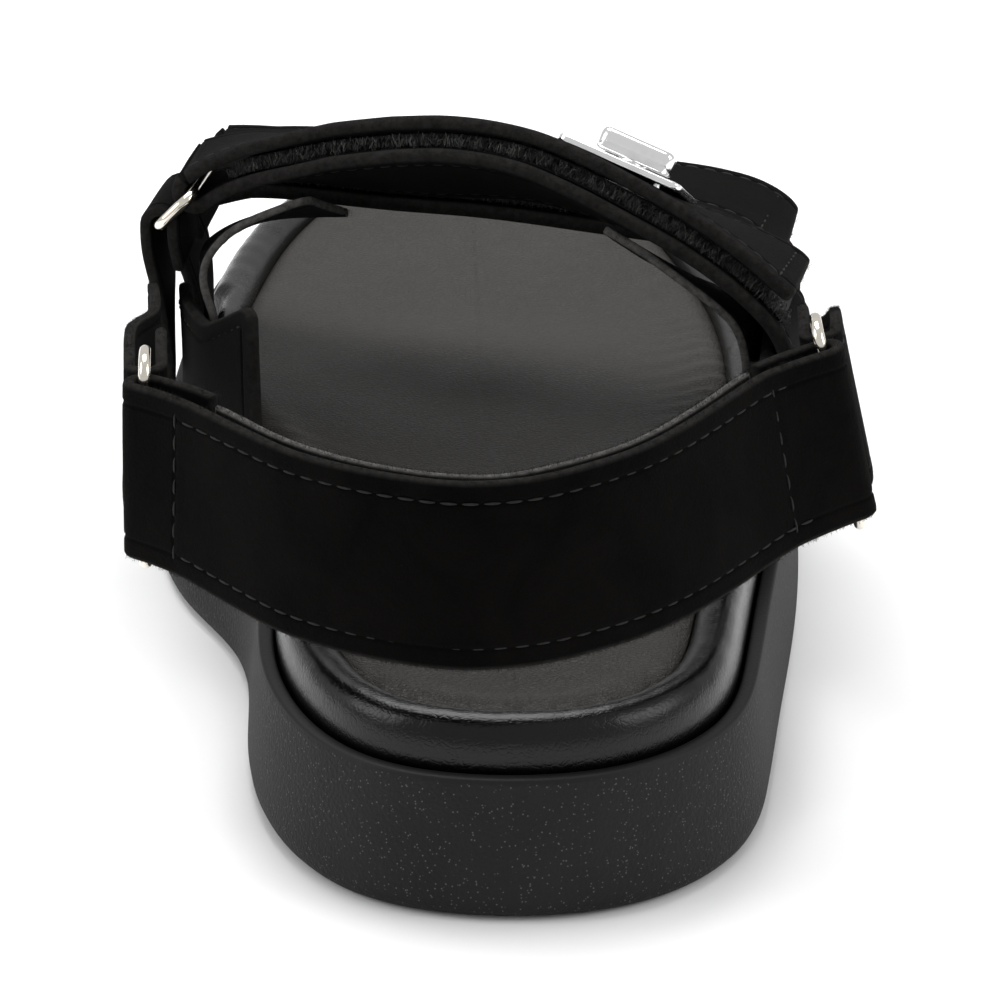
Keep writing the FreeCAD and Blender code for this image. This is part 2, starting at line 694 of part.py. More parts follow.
def round_pad(body, plane, name, diameter, low, high):
    """Adds a round boss to a body, from low to high above its own XY plane."""
    sketch = body.newObject("Sketcher::SketchObject", name + "_circle")
    sketch.AttachmentSupport = [(plane, "")]
    sketch.MapMode = "FlatFace"
    sketch.AttachmentOffset = FreeCAD.Placement(V(0, 0, low), FreeCAD.Rotation())
    sketch.addGeometry(Part.Circle(V(0, 0, 0), UP, diameter / 2), False)
    sketch.addConstraint(Sketcher.Constraint("Coincident", 0, 3, -1, 1))
    sketch.addConstraint(Sketcher.Constraint("Diameter", 0, diameter))
    pad = body.newObject("PartDesign::Pad", name)
    pad.Profile = sketch
    pad.Length = high - low
    return pad


def turn_button():
    """Turn button: a rounded bar over a round neck, with a pin down through the plate."""
    body = plate_body("turn_button", "toggle_length", "toggle_breadth", "toggle_thick", 1.6)
    plane = next(f for f in body.Origin.OriginFeatures if f.Role == "XY_Plane")
    round_pad(body, plane, "neck", size["neck_diameter"], -size["neck_height"] + size["play"], 0.0)
    depth = size["neck_height"] + size["clasp_thick"] + 0.5 * band
    round_pad(body, plane, "pin", size["pin_diameter"], -depth, 0.0)
    return body


def pierce(body, diameter):
    """A round hole through the middle of a plate body."""
    plane = next(f for f in body.Origin.OriginFeatures if f.Role == "XY_Plane")
    sketch = body.newObject("Sketcher::SketchObject", body.Name + "_hole_circle")
    sketch.AttachmentSupport = [(plane, "")]
    sketch.MapMode = "FlatFace"
    sketch.addGeometry(Part.Circle(V(0, 0, 0), UP, diameter / 2), False)
    sketch.addConstraint(Sketcher.Constraint("Coincident", 0, 3, -1, 1))
    sketch.addConstraint(Sketcher.Constraint("Diameter", 0, diameter))
    hole = body.newObject("PartDesign::Pocket", body.Name + "_hole")
    hole.Profile = sketch
    hole.Type = 1
    hole.Midplane = True


def clasp_posts(origin, along, side, up):
    """Four rivet posts that hold the plate to the backing plate through the flap."""
    posts = []
    for a in (-1, 1):
        for b in (-1, 1):
            foot = origin + along * (a * (size["clasp_length"] / 2 - 4.5))
            foot = foot + side * (b * (size["clasp_breadth"] / 2 - 6.5))
            length = band + skin + size["backing_thick"]
            posts.append(Part.makeCylinder(size["post_diameter"] / 2, length, foot - up * length, up))
    return posts


def backing_plate(origin, along, side, up):
    """Thin steel plate under the flap that spreads the clasp's pull."""
    long, wide = size["clasp_length"] - 5.0, size["clasp_breadth"] - 9.0
    low = origin - up * (band + skin + size["backing_thick"])
    corner = low - along * (long / 2) - side * (wide / 2)
    wire = Part.makePolygon([corner, corner + along * long, corner + along * long + side * wide,
                             corner + side * wide, corner])
    return Part.Face(wire).extrude(up * size["backing_thick"])


def frame_on(line, u, level):
    """A point at a level above a strap line, with the strap's own run, side and up there."""
    centre, _, _, normal = line.frame(u)
    along = unit(line.centre.tangent(u)[0])
    return centre + normal * level, along, normal.cross(along), normal


# ---------------------------------------------------------------- the assembly
keep("cup_outsole", cup_outsole())
keep("midsole_filler", midsole_filler())
keep("insole_board", insole_board())
keep("footbed_foam", footbed_foam())
keep("footbed_cover", footbed_cover())
keep("footbed_roll", footbed_roll())
keep("medial_quarter", medial_quarter())
keep("lateral_quarter", lateral_quarter())
keep("medial_wing", wing(medial_wing_line, -1))
keep("lateral_wing", wing(lateral_wing_line, 1))

# the clasp sits on the instep flap: plate above, backing plate in a pocket of the hook tape
clasp_at = frame_on(instep_line, clasp_station, flap_low + band + skin)
clasp_centre, clasp_along, clasp_side, clasp_up = clasp_at
plate = plate_body("clasp_plate", "clasp_length", "clasp_breadth", "clasp_thick", 1.5)
pierce(plate, size["pin_diameter"] + 0.12)
place(plate, clasp_centre, clasp_along, clasp_side)
button = turn_button()
button_lift = size["clasp_thick"] + size["neck_height"]
place(button, clasp_centre + clasp_up * button_lift, clasp_along, clasp_side)
doc.recompute()
posts = clasp_posts(*clasp_at)
backing = backing_plate(*clasp_at)
pin_space = Part.makeCylinder(size["pin_diameter"] / 2 + size["play"], 6,
                              clasp_centre - clasp_up * 6, clasp_up)
keep("clasp_posts", Part.makeCompound(posts))
keep("clasp_backing", backing.cut(posts))

keep("instep_strap", strap_lower(instep_line))
keep("instep_loop_tape", loop_tape(instep_line, instep_flap_end))
keep("instep_flap", strap_flap(instep_line, instep_flap_end).cut(posts + [pin_space, backing, plate.Shape]))
keep("instep_hook_tape", hook_tape(instep_line, instep_flap_end).cut(posts + [backing, pin_space]))
keep("toe_strap", strap_lower(toe_line))
keep("toe_loop_tape", loop_tape(toe_line, toe_flap_end))
keep("toe_flap", strap_flap(toe_line, toe_flap_end))
keep("toe_hook_tape", hook_tape(toe_line, toe_flap_end))

keep("heel_strap", heel_strap())
keep("heel_strap_lining", heel_strap_lining())
keep("medial_heel_tab", heel_tab(medial_heel_tab_line, -1, size["strap_width"] * 0.62))
keep("lateral_heel_tab", heel_tab(lateral_heel_tab_line, 1, size["strap_width"] * 0.8))

rings = {name: ring_body(name) for name in
         ("instep_ring", "toe_ring", "medial_heel_ring", "lateral_heel_ring")}
outer_bar, instep_across = place_ring(rings["instep_ring"], instep_line, 0, V(-0.72, 0, -0.69))
toe_outer_bar, toe_across = place_ring(rings["toe_ring"], toe_line, 0, V(-0.74, 0.1, -0.66))
medial_front_bar, _ = place_ring(rings["medial_heel_ring"], heel_line, 0, V(-0.04, 1, 0))
lateral_front_bar, _ = place_ring(rings["lateral_heel_ring"], heel_line, heel_line.length, V(0.0, 1, 0))

keep("medial_instep_tab", ring_tab(outer_bar, instep_across, [
    outer_bar + V(-0.2, 0.8, -4.0), outer_bar + V(0.6, 1.5, -10.0), outer_bar + V(1.3, 2.0, -25.0)], 8))
keep("medial_toe_tab", ring_tab(toe_outer_bar, toe_across, [
    toe_outer_bar + V(1.3, 0.6, -4.0), toe_outer_bar + V(3.8, 0.8, -12.0),
    toe_outer_bar + V(4.95, 0.8, -22.0), toe_outer_bar + V(5.05, 0.8, -34.0)], 5).cut(cup_wall()))
doc.recompute()

# ---------------------------------------------------------------- hinge lines
def show_axis(name, point, direction):
    direction = unit(direction)
    print("%-18s at (%.5f, %.5f, %.5f) m along (%.5f, %.5f, %.5f)" % (
        name, point.x / 1000, point.y / 1000, point.z / 1000, direction.x, direction.y, direction.z))


def flap_hinge(line):
    """A flap bends where it leaves the fold, along its own top surface."""
    centre, _, across, normal = line.frame(size["play"])
    return centre + normal * (flap_low + band), across * -1


show_axis("instep_flap", *flap_hinge(instep_line))
show_axis("toe_flap", *flap_hinge(toe_line))
show_axis("instep_ring", outer_bar, instep_across)
show_axis("toe_ring", toe_outer_bar, toe_across)
show_axis("turn_button", clasp_centre, clasp_up)
show_axis("heel_strap", medial_front_bar, lateral_front_bar - medial_front_bar)

problems = []
for obj in doc.Objects:
    if "Invalid" in obj.State or "Error" in obj.State:
        problems.append("%s: %s" % (obj.Name, obj.State))
pieces = [o for o in doc.Objects if o.TypeId in ("Part::Feature", "PartDesign::Body")]
for piece in pieces:
    if piece.Shape.isNull() or not piece.Shape.isValid():
        problems.append("%s has no valid shape" % piece.Label)
    elif not piece.Shape.Solids:
        problems.append("%s has no solid" % piece.Label)
print("\n".join(problems) or "all features are sound")

os.makedirs("parts", exist_ok=True)
for piece in pieces:
    piece.Shape.exportStep("parts/%s.step" % piece.Label)
    print("%-20s %2d solid(s) %9.0f mm3" % (piece.Label, len(piece.Shape.Solids), piece.Shape.Volume))
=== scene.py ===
# %% [markdown]
# # A strappy sport sandal in black suede
# The sandal stands on a chunky rubber cup. In the cup lies a padded leather footbed with a
# rolled edge. Suede straps hold the foot: a heel strap on wire rings, an instep strap and a
# toe strap that fold round rings and close with hook and loop tape, and a turn-lock clasp.
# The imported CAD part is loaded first. It is the fixed frame that every piece here must fit.

# %% Load the frame and keep its box
from mathutils import Matrix
import math
import bpy
import bmesh
import numpy as np


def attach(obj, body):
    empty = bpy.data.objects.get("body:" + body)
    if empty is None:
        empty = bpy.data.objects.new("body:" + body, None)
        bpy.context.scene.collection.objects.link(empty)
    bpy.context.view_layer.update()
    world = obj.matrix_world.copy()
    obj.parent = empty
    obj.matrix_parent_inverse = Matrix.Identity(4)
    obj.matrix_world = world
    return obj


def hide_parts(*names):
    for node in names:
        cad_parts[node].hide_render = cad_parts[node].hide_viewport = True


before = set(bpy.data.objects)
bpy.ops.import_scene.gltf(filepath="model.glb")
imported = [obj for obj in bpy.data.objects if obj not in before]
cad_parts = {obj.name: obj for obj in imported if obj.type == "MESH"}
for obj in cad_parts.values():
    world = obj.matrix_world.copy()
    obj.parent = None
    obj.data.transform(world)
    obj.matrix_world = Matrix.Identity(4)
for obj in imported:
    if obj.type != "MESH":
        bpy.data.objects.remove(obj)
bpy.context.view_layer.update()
rng = np.random.default_rng(11)

# %% [markdown]
# A shoemaker writes a pattern on one master last and grades it to the size that is made. The
# same is done here: points are written in millimetres on the master and stretched by three
# grades. Everything is worked out in millimetres and turned to metres when a mesh is made.

# %% Grades and small vector helpers
RISE = 0.135
GRADE = np.array([102.0 / 110.0, 265.0 / 288.0, (82.2 - RISE * 113.0 * 265.0 / 288.0) / 80.0])
WIDTH_SQUASH = 0.934
HEEL_SEAT = 37.0


def at(points):
    """Master points (x, y from the back of the heel, z) graded to the sandal's frame."""
    return np.asarray(points, float) * GRADE - np.array([0.0, HEEL_SEAT, 0.0])


def on_upper(points):
    """Points of the upper, which climbs towards the toe by RISE times the distance from the heel."""
    points = np.asarray(points, float)
    return at(points) + points[..., 1:2] * np.array([0.0, 0.0, RISE * GRADE[1]])


def unit(vectors):
    """Each vector divided by its own length."""
    vectors = np.asarray(vectors, float)
    return vectors / np.linalg.norm(vectors, axis=-1, keepdims=True)


def spline(knots, values, u):
    """Cubic curve through values at knots, and its slope, at every u.

    Each stretch is the cubic with given end slopes. The slopes are those that make the
    bending run on without a jump, and at both ends that of a parabola through three points.
    """
    knots, values, u = np.asarray(knots, float), np.asarray(values, float), np.asarray(u, float)
    step = np.diff(knots)[:, None]
    chord = np.diff(values, axis=0) / step
    count = len(knots)
    inner = np.arange(1, count - 1)
    matrix, right = np.zeros((count, count)), np.zeros_like(values)
    matrix[inner, inner - 1] = step[1:, 0]
    matrix[inner, inner] = 2 * (step[:-1, 0] + step[1:, 0])
    matrix[inner, inner + 1] = step[:-1, 0]
    right[1:-1] = 3 * (step[1:] * chord[:-1] + step[:-1] * chord[1:])
    matrix[0, 0] = matrix[-1, -1] = 1
    right[0] = chord[0] - (chord[1] - chord[0]) * step[0] / (step[0] + step[1])
    right[-1] = chord[-1] + (chord[-1] - chord[-2]) * step[-1] / (step[-1] + step[-2])
    slope = np.linalg.solve(matrix, right)
    place = np.clip(np.searchsorted(knots, u, side="right") - 1, 0, count - 2)
    wide = step[place]
    t = (u - knots[place])[..., None] / wide
    a, b, sa, sb = values[place], values[place + 1], slope[place] * wide, slope[place + 1] * wide
    here = (a * (1 + 2 * t) * (1 - t) ** 2 + sa * t * (1 - t) ** 2
            + b * t * t * (3 - 2 * t) + sb * t * t * (t - 1))
    rate = (6 * t * t - 6 * t) * (a - b) + sa * (3 * t * t - 4 * t + 1) + sb * (3 * t * t - 2 * t)
    return here, rate / wide


def travel(points):
    """Distance gone along a line of points, from 0."""
    return np.concatenate([[0], np.cumsum(np.linalg.norm(np.diff(points, axis=0), axis=1))])


def look_up(u, gone, values):
    """Rows of values at every distance u, where gone is the distance of each row."""
    return np.stack([np.interp(u, gone, values[:, k]) for k in range(3)], -1)


def smooth_step(low, high, value):
    """0 below low, 1 above high, and an even S between them."""
    t = np.clip((value - low) / (high - low), 0, 1)
    return t * t * (3 - 2 * t)


print("grades:", GRADE.round(4))

# %% [markdown]
# Every new piece is a grid of points, worked out as whole arrays. Three helpers turn grids into
# closed meshes: one for a ring of profiles, one for two sheets joined round their borders, and
# one that stamps a small shape many times, for stitches and fibres. Each mesh carries a UV map
# in metres, and a piece that is given one carries an attribute called rim, which is 1 on raw cut edges and 0
# elsewhere.

# %% Meshes from arrays
def make_object(name, points, faces, uv=None, rim=None):
    """A smooth-shaded object at the origin from points in millimetres.

    The signed volume, a sum of triple products over the faces, tells whether the faces look
    outwards. If it is negative they are turned round.
    """
    points = np.asarray(points, float)
    faces = np.asarray(faces)
    a, b, c = points[faces[:, 0]], points[faces[:, 1]], points[faces[:, 2]]
    volume = np.einsum("ij,ij->i", a, np.cross(b, c)).sum()
    if faces.shape[1] == 4:
        d = points[faces[:, 3]]
        volume += np.einsum("ij,ij->i", a, np.cross(c, d)).sum()
    if volume < 0:
        faces = faces[:, ::-1]
    mesh = bpy.data.meshes.new(name)
    mesh.from_pydata((points * 0.001).tolist(), [], faces.tolist())
    mesh.polygons.foreach_set("use_smooth", np.ones(len(mesh.polygons), bool))
    if uv is not None:
        corner = np.empty(len(mesh.loops), int)
        mesh.loops.foreach_get("vertex_index", corner)
        layer = mesh.uv_layers.new(name="surface")
        layer.data.foreach_set("uv", (np.asarray(uv)[corner] * 0.001).ravel())
    if rim is not None:
        mark = mesh.attributes.new("rim", "FLOAT", "POINT")
        mark.data.foreach_set("value", np.asarray(rim, np.float32))
    mesh.update()
    piece = bpy.data.objects.new(name, mesh)
    bpy.context.scene.collection.objects.link(piece)
    return piece


def quads(rows, columns, wrap_rows=False, wrap_columns=False, first=0):
    """Corner numbers of the faces of a grid, as one array."""
    i = np.arange(rows if wrap_rows else rows - 1)[:, None]
    j = np.arange(columns if wrap_columns else columns - 1)[None, :]
    after_i, after_j = (i + 1) % rows, (j + 1) % columns
    corners = [i * columns + j, after_i * columns + j, after_i * columns + after_j, i * columns + after_j]
    return np.stack([np.broadcast_to(c, (i.size, j.size)).ravel() for c in corners], 1) + first


def ring_piece(name, grid, rim=None):
    """A closed piece from profiles round a loop: the grid wraps both ways."""
    rows, columns = grid.shape[:2]
    along = np.cumsum(np.linalg.norm(grid - np.roll(grid, 1, 0), axis=2), 0)
    across = np.cumsum(np.linalg.norm(grid - np.roll(grid, 1, 1), axis=2), 1)
    uv = np.stack([along, across], 2).reshape(-1, 2)
    flat_rim = None if rim is None else np.broadcast_to(rim, (rows, columns)).ravel()
    return make_object(name, grid.reshape(-1, 3), quads(rows, columns, True, True), uv, flat_rim)


def sheet_piece(name, front, back, rim=None):
    """A closed piece from two sheets of the same grid, joined round their borders."""
    rows, columns = front.shape[:2]
    half = rows * columns
    number = np.arange(half).reshape(rows, columns)
    border = np.concatenate([number[:-1, 0], number[-1, :-1], number[:0:-1, -1], number[0, :0:-1]])
    following = np.roll(border, -1)
    side = np.stack([following, border, border + half, following + half], 1)
    faces = np.concatenate([quads(rows, columns), quads(rows, columns, first=half)[:, ::-1], side])
    centre = (front + back) / 2
    along = np.cumsum(np.linalg.norm(np.diff(centre, axis=0, prepend=centre[:1]), axis=2), 0)
    across = np.cumsum(np.linalg.norm(np.diff(centre, axis=1, prepend=centre[:, :1]), axis=2), 1)
    uv = np.stack([along, across], 2).reshape(-1, 2)
    points = np.concatenate([front.reshape(-1, 3), back.reshape(-1, 3)])
    both = None if rim is None else np.tile(np.broadcast_to(rim, (rows, columns)).ravel(), 2)
    return make_object(name, points, faces, np.tile(uv, (2, 1)), both)


def stamp(name, shape, faces, centres, along, side, up):
    """One mesh of many copies: each point is its centre plus the shape's x along, y to the side, z up."""
    copies = (centres[:, None] + along[:, None] * shape[..., 0:1] + side[:, None] * shape[..., 1:2]
              + up[:, None] * shape[..., 2:3])
    count, size = copies.shape[:2]
    numbers = faces[None] + (np.arange(count) * size)[:, None, None]
    uv = np.tile(np.stack([np.linspace(0, 1, size)] * 2, 1), (count, 1))
    return make_object(name, copies.reshape(-1, 3), numbers.reshape(-1, faces.shape[1]), uv)


def finish_piece(piece, material, node, body):
    """Material, the node it stands for if any, and body of a piece."""
    piece.data.materials.append(material)
    if node:
        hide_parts(node)
    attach(piece, body)


def merge_points(piece, reach, least_area=0.0):
    """Joins points closer than reach, and drops faces smaller than least_area, in metres."""
    work = bmesh.new()
    work.from_mesh(piece.data)
    bmesh.ops.remove_doubles(work, verts=work.verts, dist=reach)
    flat = [face for face in work.faces if face.calc_area() < least_area]
    bmesh.ops.delete(work, geom=flat, context="FACES_ONLY")
    work.to_mesh(piece.data)
    work.free()


print("mesh helpers ready")

# %% [markdown]
# Shader maths is easier to read as arithmetic. A small class wraps a node's output and turns
# + - * into Math nodes. A finish is a material with one Principled shader. One method adds
# any other node from its type, its settings and its inputs.

# %% Shader arithmetic
class Val:
    """One output of a node. Arithmetic on it adds Math nodes."""

    def __init__(self, tree, socket):
        self.tree, self.socket = tree, socket

    def math(self, operation, other, flip=False):
        node = self.tree.nodes.new("ShaderNodeMath")
        node.operation = operation
        pair = (other, self) if flip else (self, other)
        for socket, value in zip(node.inputs, pair):
            feed(self.tree, socket, value)
        return Val(self.tree, node.outputs[0])

    def __add__(self, other): return self.math("ADD", other)
    def __radd__(self, other): return self.math("ADD", other, True)
    def __sub__(self, other): return self.math("SUBTRACT", other)
    def __rsub__(self, other): return self.math("SUBTRACT", other, True)
    def __mul__(self, other): return self.math("MULTIPLY", other)
    def __rmul__(self, other): return self.math("MULTIPLY", other, True)
    def above(self, other): return self.math("GREATER_THAN", other)


def feed(tree, socket, value):
    """Links a Val to a socket, or sets the socket to a plain value."""
    if isinstance(value, Val):
        tree.links.new(value.socket, socket)
    elif hasattr(socket.default_value, "__len__") and len(socket.default_value) == 4 and len(value) == 3:
        socket.default_value = (*value, 1.0)
    else:
        socket.default_value = value


class Finish:
    """A material with one Principled shader, built by naming what differs from plain."""

    def __init__(self, name, **plain):
        self.material = bpy.data.materials.new(name)
        self.material.use_nodes = True
        self.tree = self.material.node_tree
        self.shader = next(n for n in self.tree.nodes if n.type == "BSDF_PRINCIPLED")
        self.position = Val(self.tree, self.tree.nodes.new("ShaderNodeTexCoord").outputs["Object"])
        for socket, value in plain.items():
            self.set(socket.replace("_", " "), value)

    def set(self, socket, value):
        feed(self.tree, self.shader.inputs[socket], value)

    def node(self, kind, settings=(), out=0, **inputs):
        """Any node: settings first, then each input by its name with spaces as underscores."""
        node = self.tree.nodes.new("ShaderNode" + kind)
        for key, value in dict(settings).items():
            if key == "stops":
                while len(node.color_ramp.elements) < len(value):
                    node.color_ramp.elements.new(0.5)
                for element, (place, tone) in zip(node.color_ramp.elements, value):
                    element.position, element.color = place, (tone, tone, tone, 1)
            else:
                setattr(node, key, value)
        for key, value in inputs.items():
            name = key.replace("_", " ")
            feed(self.tree, next(s for s in node.inputs if s.name == name and s.enabled), value)
        return Val(self.tree, node.outputs[out])

    def noise(self, scale, detail=2.0, rough=0.5, vector=None, out=0, distortion=0.0):
        """Cloudy pattern, scale in waves per metre."""
        return self.node("TexNoise", out=out, Vector=vector or self.position, Scale=scale,
                         Detail=detail, Roughness=rough, Distortion=distortion)

    def cells(self, scale, vector=None, feature="F1", out=0):
        """Cell pattern, scale in cells per metre."""
        return self.node("TexVoronoi", {"feature": feature}, out=out, Vector=vector or self.position,
                         Scale=scale, Randomness=1.0)

    def stretch(self, x, y, z):
        return self.node("Mapping", Vector=self.position, Scale=(x, y, z))

    def curve(self, value, *stops):
        """Bends a number through named stops."""
        return self.node("ValToRGB", {"stops": stops}, Fac=value)

    def mix(self, share, first, second):
        """Between two colours."""
        node = self.tree.nodes.new("ShaderNodeMix")
        node.data_type = "RGBA"
        for index, value in ((0, share), (6, first), (7, second)):
            feed(self.tree, node.inputs[index], value)
        return Val(self.tree, node.outputs[2])

    def bump(self, height, depth, strength):
        """Small relief: height 0 to 1 stands for depth in metres."""
        return self.node("Bump", Height=height, Distance=depth, Strength=strength)

    def attribute(self, name):
        return self.node("Attribute", {"attribute_name": name}, out=2)


print("shader helpers ready")

# %% [markdown]
# ## Suede
# Suede is leather with a brushed nap. It swallows light, looks a little greyer where the nap
# lies the other way, and shows grey fibre where it was cut. Fine noise makes the nap, wide noise
# the brushed patches, and the rim attribute turns the cut edges grey.

# %% Suede finishes
def suede(name, dark, light, edge, edge_share):
    finish = Finish(name, Roughness=0.92, Specular_IOR_Level=0.03, Sheen_Weight=0.01, Sheen_Roughness=0.6)
    patches = finish.noise(70.0, 3.0, 0.6, finish.stretch(1.0, 1.6, 1.0), distortion=0.6)
    nap = finish.noise(2600.0, 4.0, 0.7)
    tuft = finish.noise(900.0, 3.0, 0.6)
    lie = finish.curve(patches, (0.38, 0.0), (0.66, 1.0))
    body = finish.mix(lie * 0.55 + nap * 0.45, dark, light)
    fleck = finish.curve(finish.cells(950.0), (0.03, 1.0), (0.09, 0.0))
    flecks = fleck * finish.curve(tuft, (0.58, 0.0), (0.68, 1.0)) * 0.35
    body = finish.mix(flecks, body, edge)
    cut = finish.attribute("rim") * edge_share * finish.curve(tuft, (0.25, 0.35), (0.7, 1.0))
    finish.set("Base Color", finish.mix(cut, body, edge))
    finish.set("Roughness", 0.86 + 0.14 * nap)
    finish.set("Normal", finish.bump(nap * 0.6 + tuft * 0.4, 0.00035, 0.8))
    return finish.material


SUEDE = suede("black_suede", (0.0008, 0.0007, 0.0007), (0.0036, 0.0031, 0.0028), (0.05, 0.048, 0.046), 0.4)
LINING = suede("suede_lining", (0.003, 0.0028, 0.0028), (0.01, 0.0095, 0.0092), (0.15, 0.145, 0.14), 0.8)
print("suede finishes:", SUEDE.name, LINING.name)

# %% [markdown]
# ## Leather, rubber, metal and tape
# The footbed leather is dull with a net of fine wrinkles, its furrows painted darker as shade. The rolled
# edge is a glossier leather
# drawn tight. The cup is moulded rubber: matt, finely pebbled, with tiny bright specks painted into its
# colour as glints. The wire is polished nickel, a little warm, and the clasp is brighter. The tapes are
# black nylon.

# %% Leather finishes
def leather(name, tone, light, rough, shine, grain, depth):
    finish = Finish(name, Specular_IOR_Level=0.28, Coat_Roughness=0.2)
    warp = finish.noise(220.0, 2.0, 0.5, out=1)
    shifted = finish.node("VectorMath", {"operation": "SCALE"}, Vector=warp, Scale=0.0016)
    place = finish.node("VectorMath", {"operation": "ADD"}, Vector=finish.stretch(1.0, 1.7, 1.0))
    finish.tree.links.new(shifted.socket, place.socket.node.inputs[1])
    furrow = finish.cells(grain, place, "DISTANCE_TO_EDGE")
    net = finish.curve(furrow, (0.0, 0.0), (0.16, 0.8), (0.4, 1.0))
    fine = finish.cells(grain * 2.3, place, "DISTANCE_TO_EDGE")
    fine_net = finish.curve(fine, (0.0, 0.0), (0.25, 1.0))
    cloud = finish.noise(38.0, 3.0, 0.55)
    worn = finish.curve(cloud, (0.35, 0.0), (0.7, 1.0))
    # The furrows of the net come out darker than the cells between them: painted shade in the grain's
    # furrows.
    finish.set("Base Color", finish.mix(worn * 0.5 + net * 0.35, tone, light))
    finish.set("Roughness", rough + 0.1 * worn - 0.06 * net)
    finish.set("Coat Weight", shine + shine * 0.5 * worn)
    relief = net * 0.7 + fine_net * 0.3
    finish.set("Normal", finish.bump(relief, depth, 0.9))
    return finish.material


FOOTBED_LEATHER = leather("footbed_leather", (0.02, 0.0178, 0.0155), (0.038, 0.034, 0.0295),
                          0.5, 0.03, 1050.0, 0.00022)
ROLL_LEATHER = leather("roll_leather", (0.0008, 0.0008, 0.0008), (0.0018, 0.0018, 0.0018),
                       0.2, 0.02, 900.0, 0.00003)
print("leathers:", FOOTBED_LEATHER.name, ROLL_LEATHER.name)


# %% Rubber finish
def rubber():
    finish = Finish("moulded_rubber", Specular_IOR_Level=0.24)
    pebble = finish.cells(1500.0)
    fine = finish.noise(3200.0, 3.0, 0.6)
    cloud = finish.noise(55.0, 3.0, 0.6)
    glint_specks_per_metre = 2500.0
    grain = finish.cells(glint_specks_per_metre)
    chance = finish.node("TexWhiteNoise", Vector=finish.cells(glint_specks_per_metre, out=2))
    # Bright specks in the base colour where the random cells are picked: painted glints on the rubber.
    glint = chance.above(0.8) * finish.curve(grain, (0.16, 1.0), (0.34, 0.0))
    dark, light = (0.006, 0.0058, 0.0059), (0.0105, 0.0102, 0.0103)
    wall = finish.mix(finish.curve(cloud, (0.3, 0.0), (0.7, 1.0)), dark, light)
    lip = finish.attribute("rim")
    body = finish.mix(glint * (1.0 - lip) * 0.8, wall, (0.12, 0.12, 0.122))
    finish.set("Base Color", finish.mix(lip * 0.8, body, (0.0035, 0.0035, 0.0036)))
    finish.set("Roughness", 0.62 + 0.14 * fine - 0.12 * lip)
    relief = (pebble * 0.55 + fine * 0.45) * (1.0 - 0.85 * lip)
    finish.set("Normal", finish.bump(relief, 0.00022, 0.75))
    return finish.material


RUBBER = rubber()


# %% Metal finishes
def metal(name, colour, rough):
    finish = Finish(name, Metallic=1.0, Base_Color=colour)
    film = finish.noise(160.0, 3.0, 0.6)
    hairlines = finish.noise(900.0, 2.0, 0.5, finish.stretch(0.15, 4.0, 1.0))
    finish.set("Roughness", rough + 0.05 * film + 0.05 * hairlines)
    dull = tuple(0.86 * part for part in colour)
    finish.set("Base Color", finish.mix(finish.curve(film, (0.45, 0.0), (0.75, 1.0)), colour, dull))
    finish.set("Normal", finish.bump(hairlines, 0.00001, 0.25))
    return finish.material


RING_METAL = metal("ring_metal", (0.86, 0.81, 0.72), 0.08)
CLASP_METAL = metal("clasp_metal", (0.93, 0.93, 0.93), 0.1)


# %% Thread and nylon finishes
def strands(name, tone, light, rough, scale, depth):
    finish = Finish(name, Specular_IOR_Level=0.3)
    twist = finish.noise(scale, 3.0, 0.6)
    # lit lightens the strands where the twist pattern stands highest, as the bump does: painted highlight
    # along the twist; on the nylon loops the bright tone is painted glints.
    lit = finish.curve(twist, (0.4, 0.0), (0.72, 1.0))
    finish.set("Base Color", finish.mix(lit, tone, light))
    finish.set("Roughness", rough + 0.15 * twist)
    finish.set("Normal", finish.bump(twist, depth, 0.6))
    return finish.material


THREAD = strands("black_thread", (0.0018, 0.0018, 0.0018), (0.011, 0.0105, 0.01), 0.6, 2400.0, 0.0001)
NYLON = strands("nylon_loops", (0.008, 0.008, 0.008), (0.09, 0.088, 0.085), 0.3, 700.0, 0.00002)
TAPE = strands("tape_weave", (0.004, 0.004, 0.004), (0.014, 0.014, 0.014), 0.75, 1800.0, 0.0002)
FIBRE = strands("suede_fibre", (0.002, 0.002, 0.002), (0.014, 0.0135, 0.013), 0.9, 900.0, 0.00002)
FOAM = strands("foam", (0.16, 0.16, 0.165), (0.26, 0.26, 0.265), 0.85, 1400.0, 0.0003)
print("materials made:", len(bpy.data.materials))

# %% [markdown]
# ## The cup sole
# The cup is one moulding: tread, wall and lip. Its outline is a closed curve through named
# points. A profile of (inset from the outline, height) carried round that curve makes the wall
# with its rounded foot and crisp lip. The tread is a second piece inside it, because its cross
# grooves run straight from side to side and follow no profile.

# %% The outline
OUTLINE = [
    (-2, 0), (20, 5), (34.5, 21.5), (40, 45), (42.7, 68), (46.5, 100), (49.5, 145), (48.5, 190),
    (38, 240), (12, 284), (-18, 286), (-46, 254), (-57, 212), (-60.5, 170), (-60, 140),
    (-54.5, 117), (-46, 97), (-42, 77), (-41, 54), (-37, 30.5), (-22, 6.5),
]
RIM = 20.5
ROLL_IN, ROLL_OUT = 11.6, 4.3
AROUND = 560


def closed_outline(count):
    """Points and inward directions spread evenly round the outline.

    The named points are laid three times in a row, and the middle round is used, so that the
    curve closes without a corner. Inward is the run turned a quarter to the left.
    """
    corners = at([(x, y, 0) for x, y in OUTLINE])
    three = np.concatenate([corners, corners, corners, corners[:1]])
    knots = travel(three)
    lap = knots[len(corners)]
    fine = lap + lap * np.linspace(0, 1, 4001)
    track = spline(knots, three, fine)[0]
    gone = travel(track)
    u = np.interp(np.arange(count) / count * gone[-1], gone, fine)
    points, run = spline(knots, three, u)
    run = unit(run)
    return points, np.stack([-run[:, 1], run[:, 0], 0 * run[:, 0]], 1)


EDGE, INWARD = closed_outline(AROUND)


def toe_spring(y):
    """How far the ground side lifts towards the toe: a parabola from the ball on."""
    start, reach = at([0, 212, 0])[1], 80 * GRADE[1]
    return 5.0 * np.clip((y - start) / reach, 0, None) ** 2


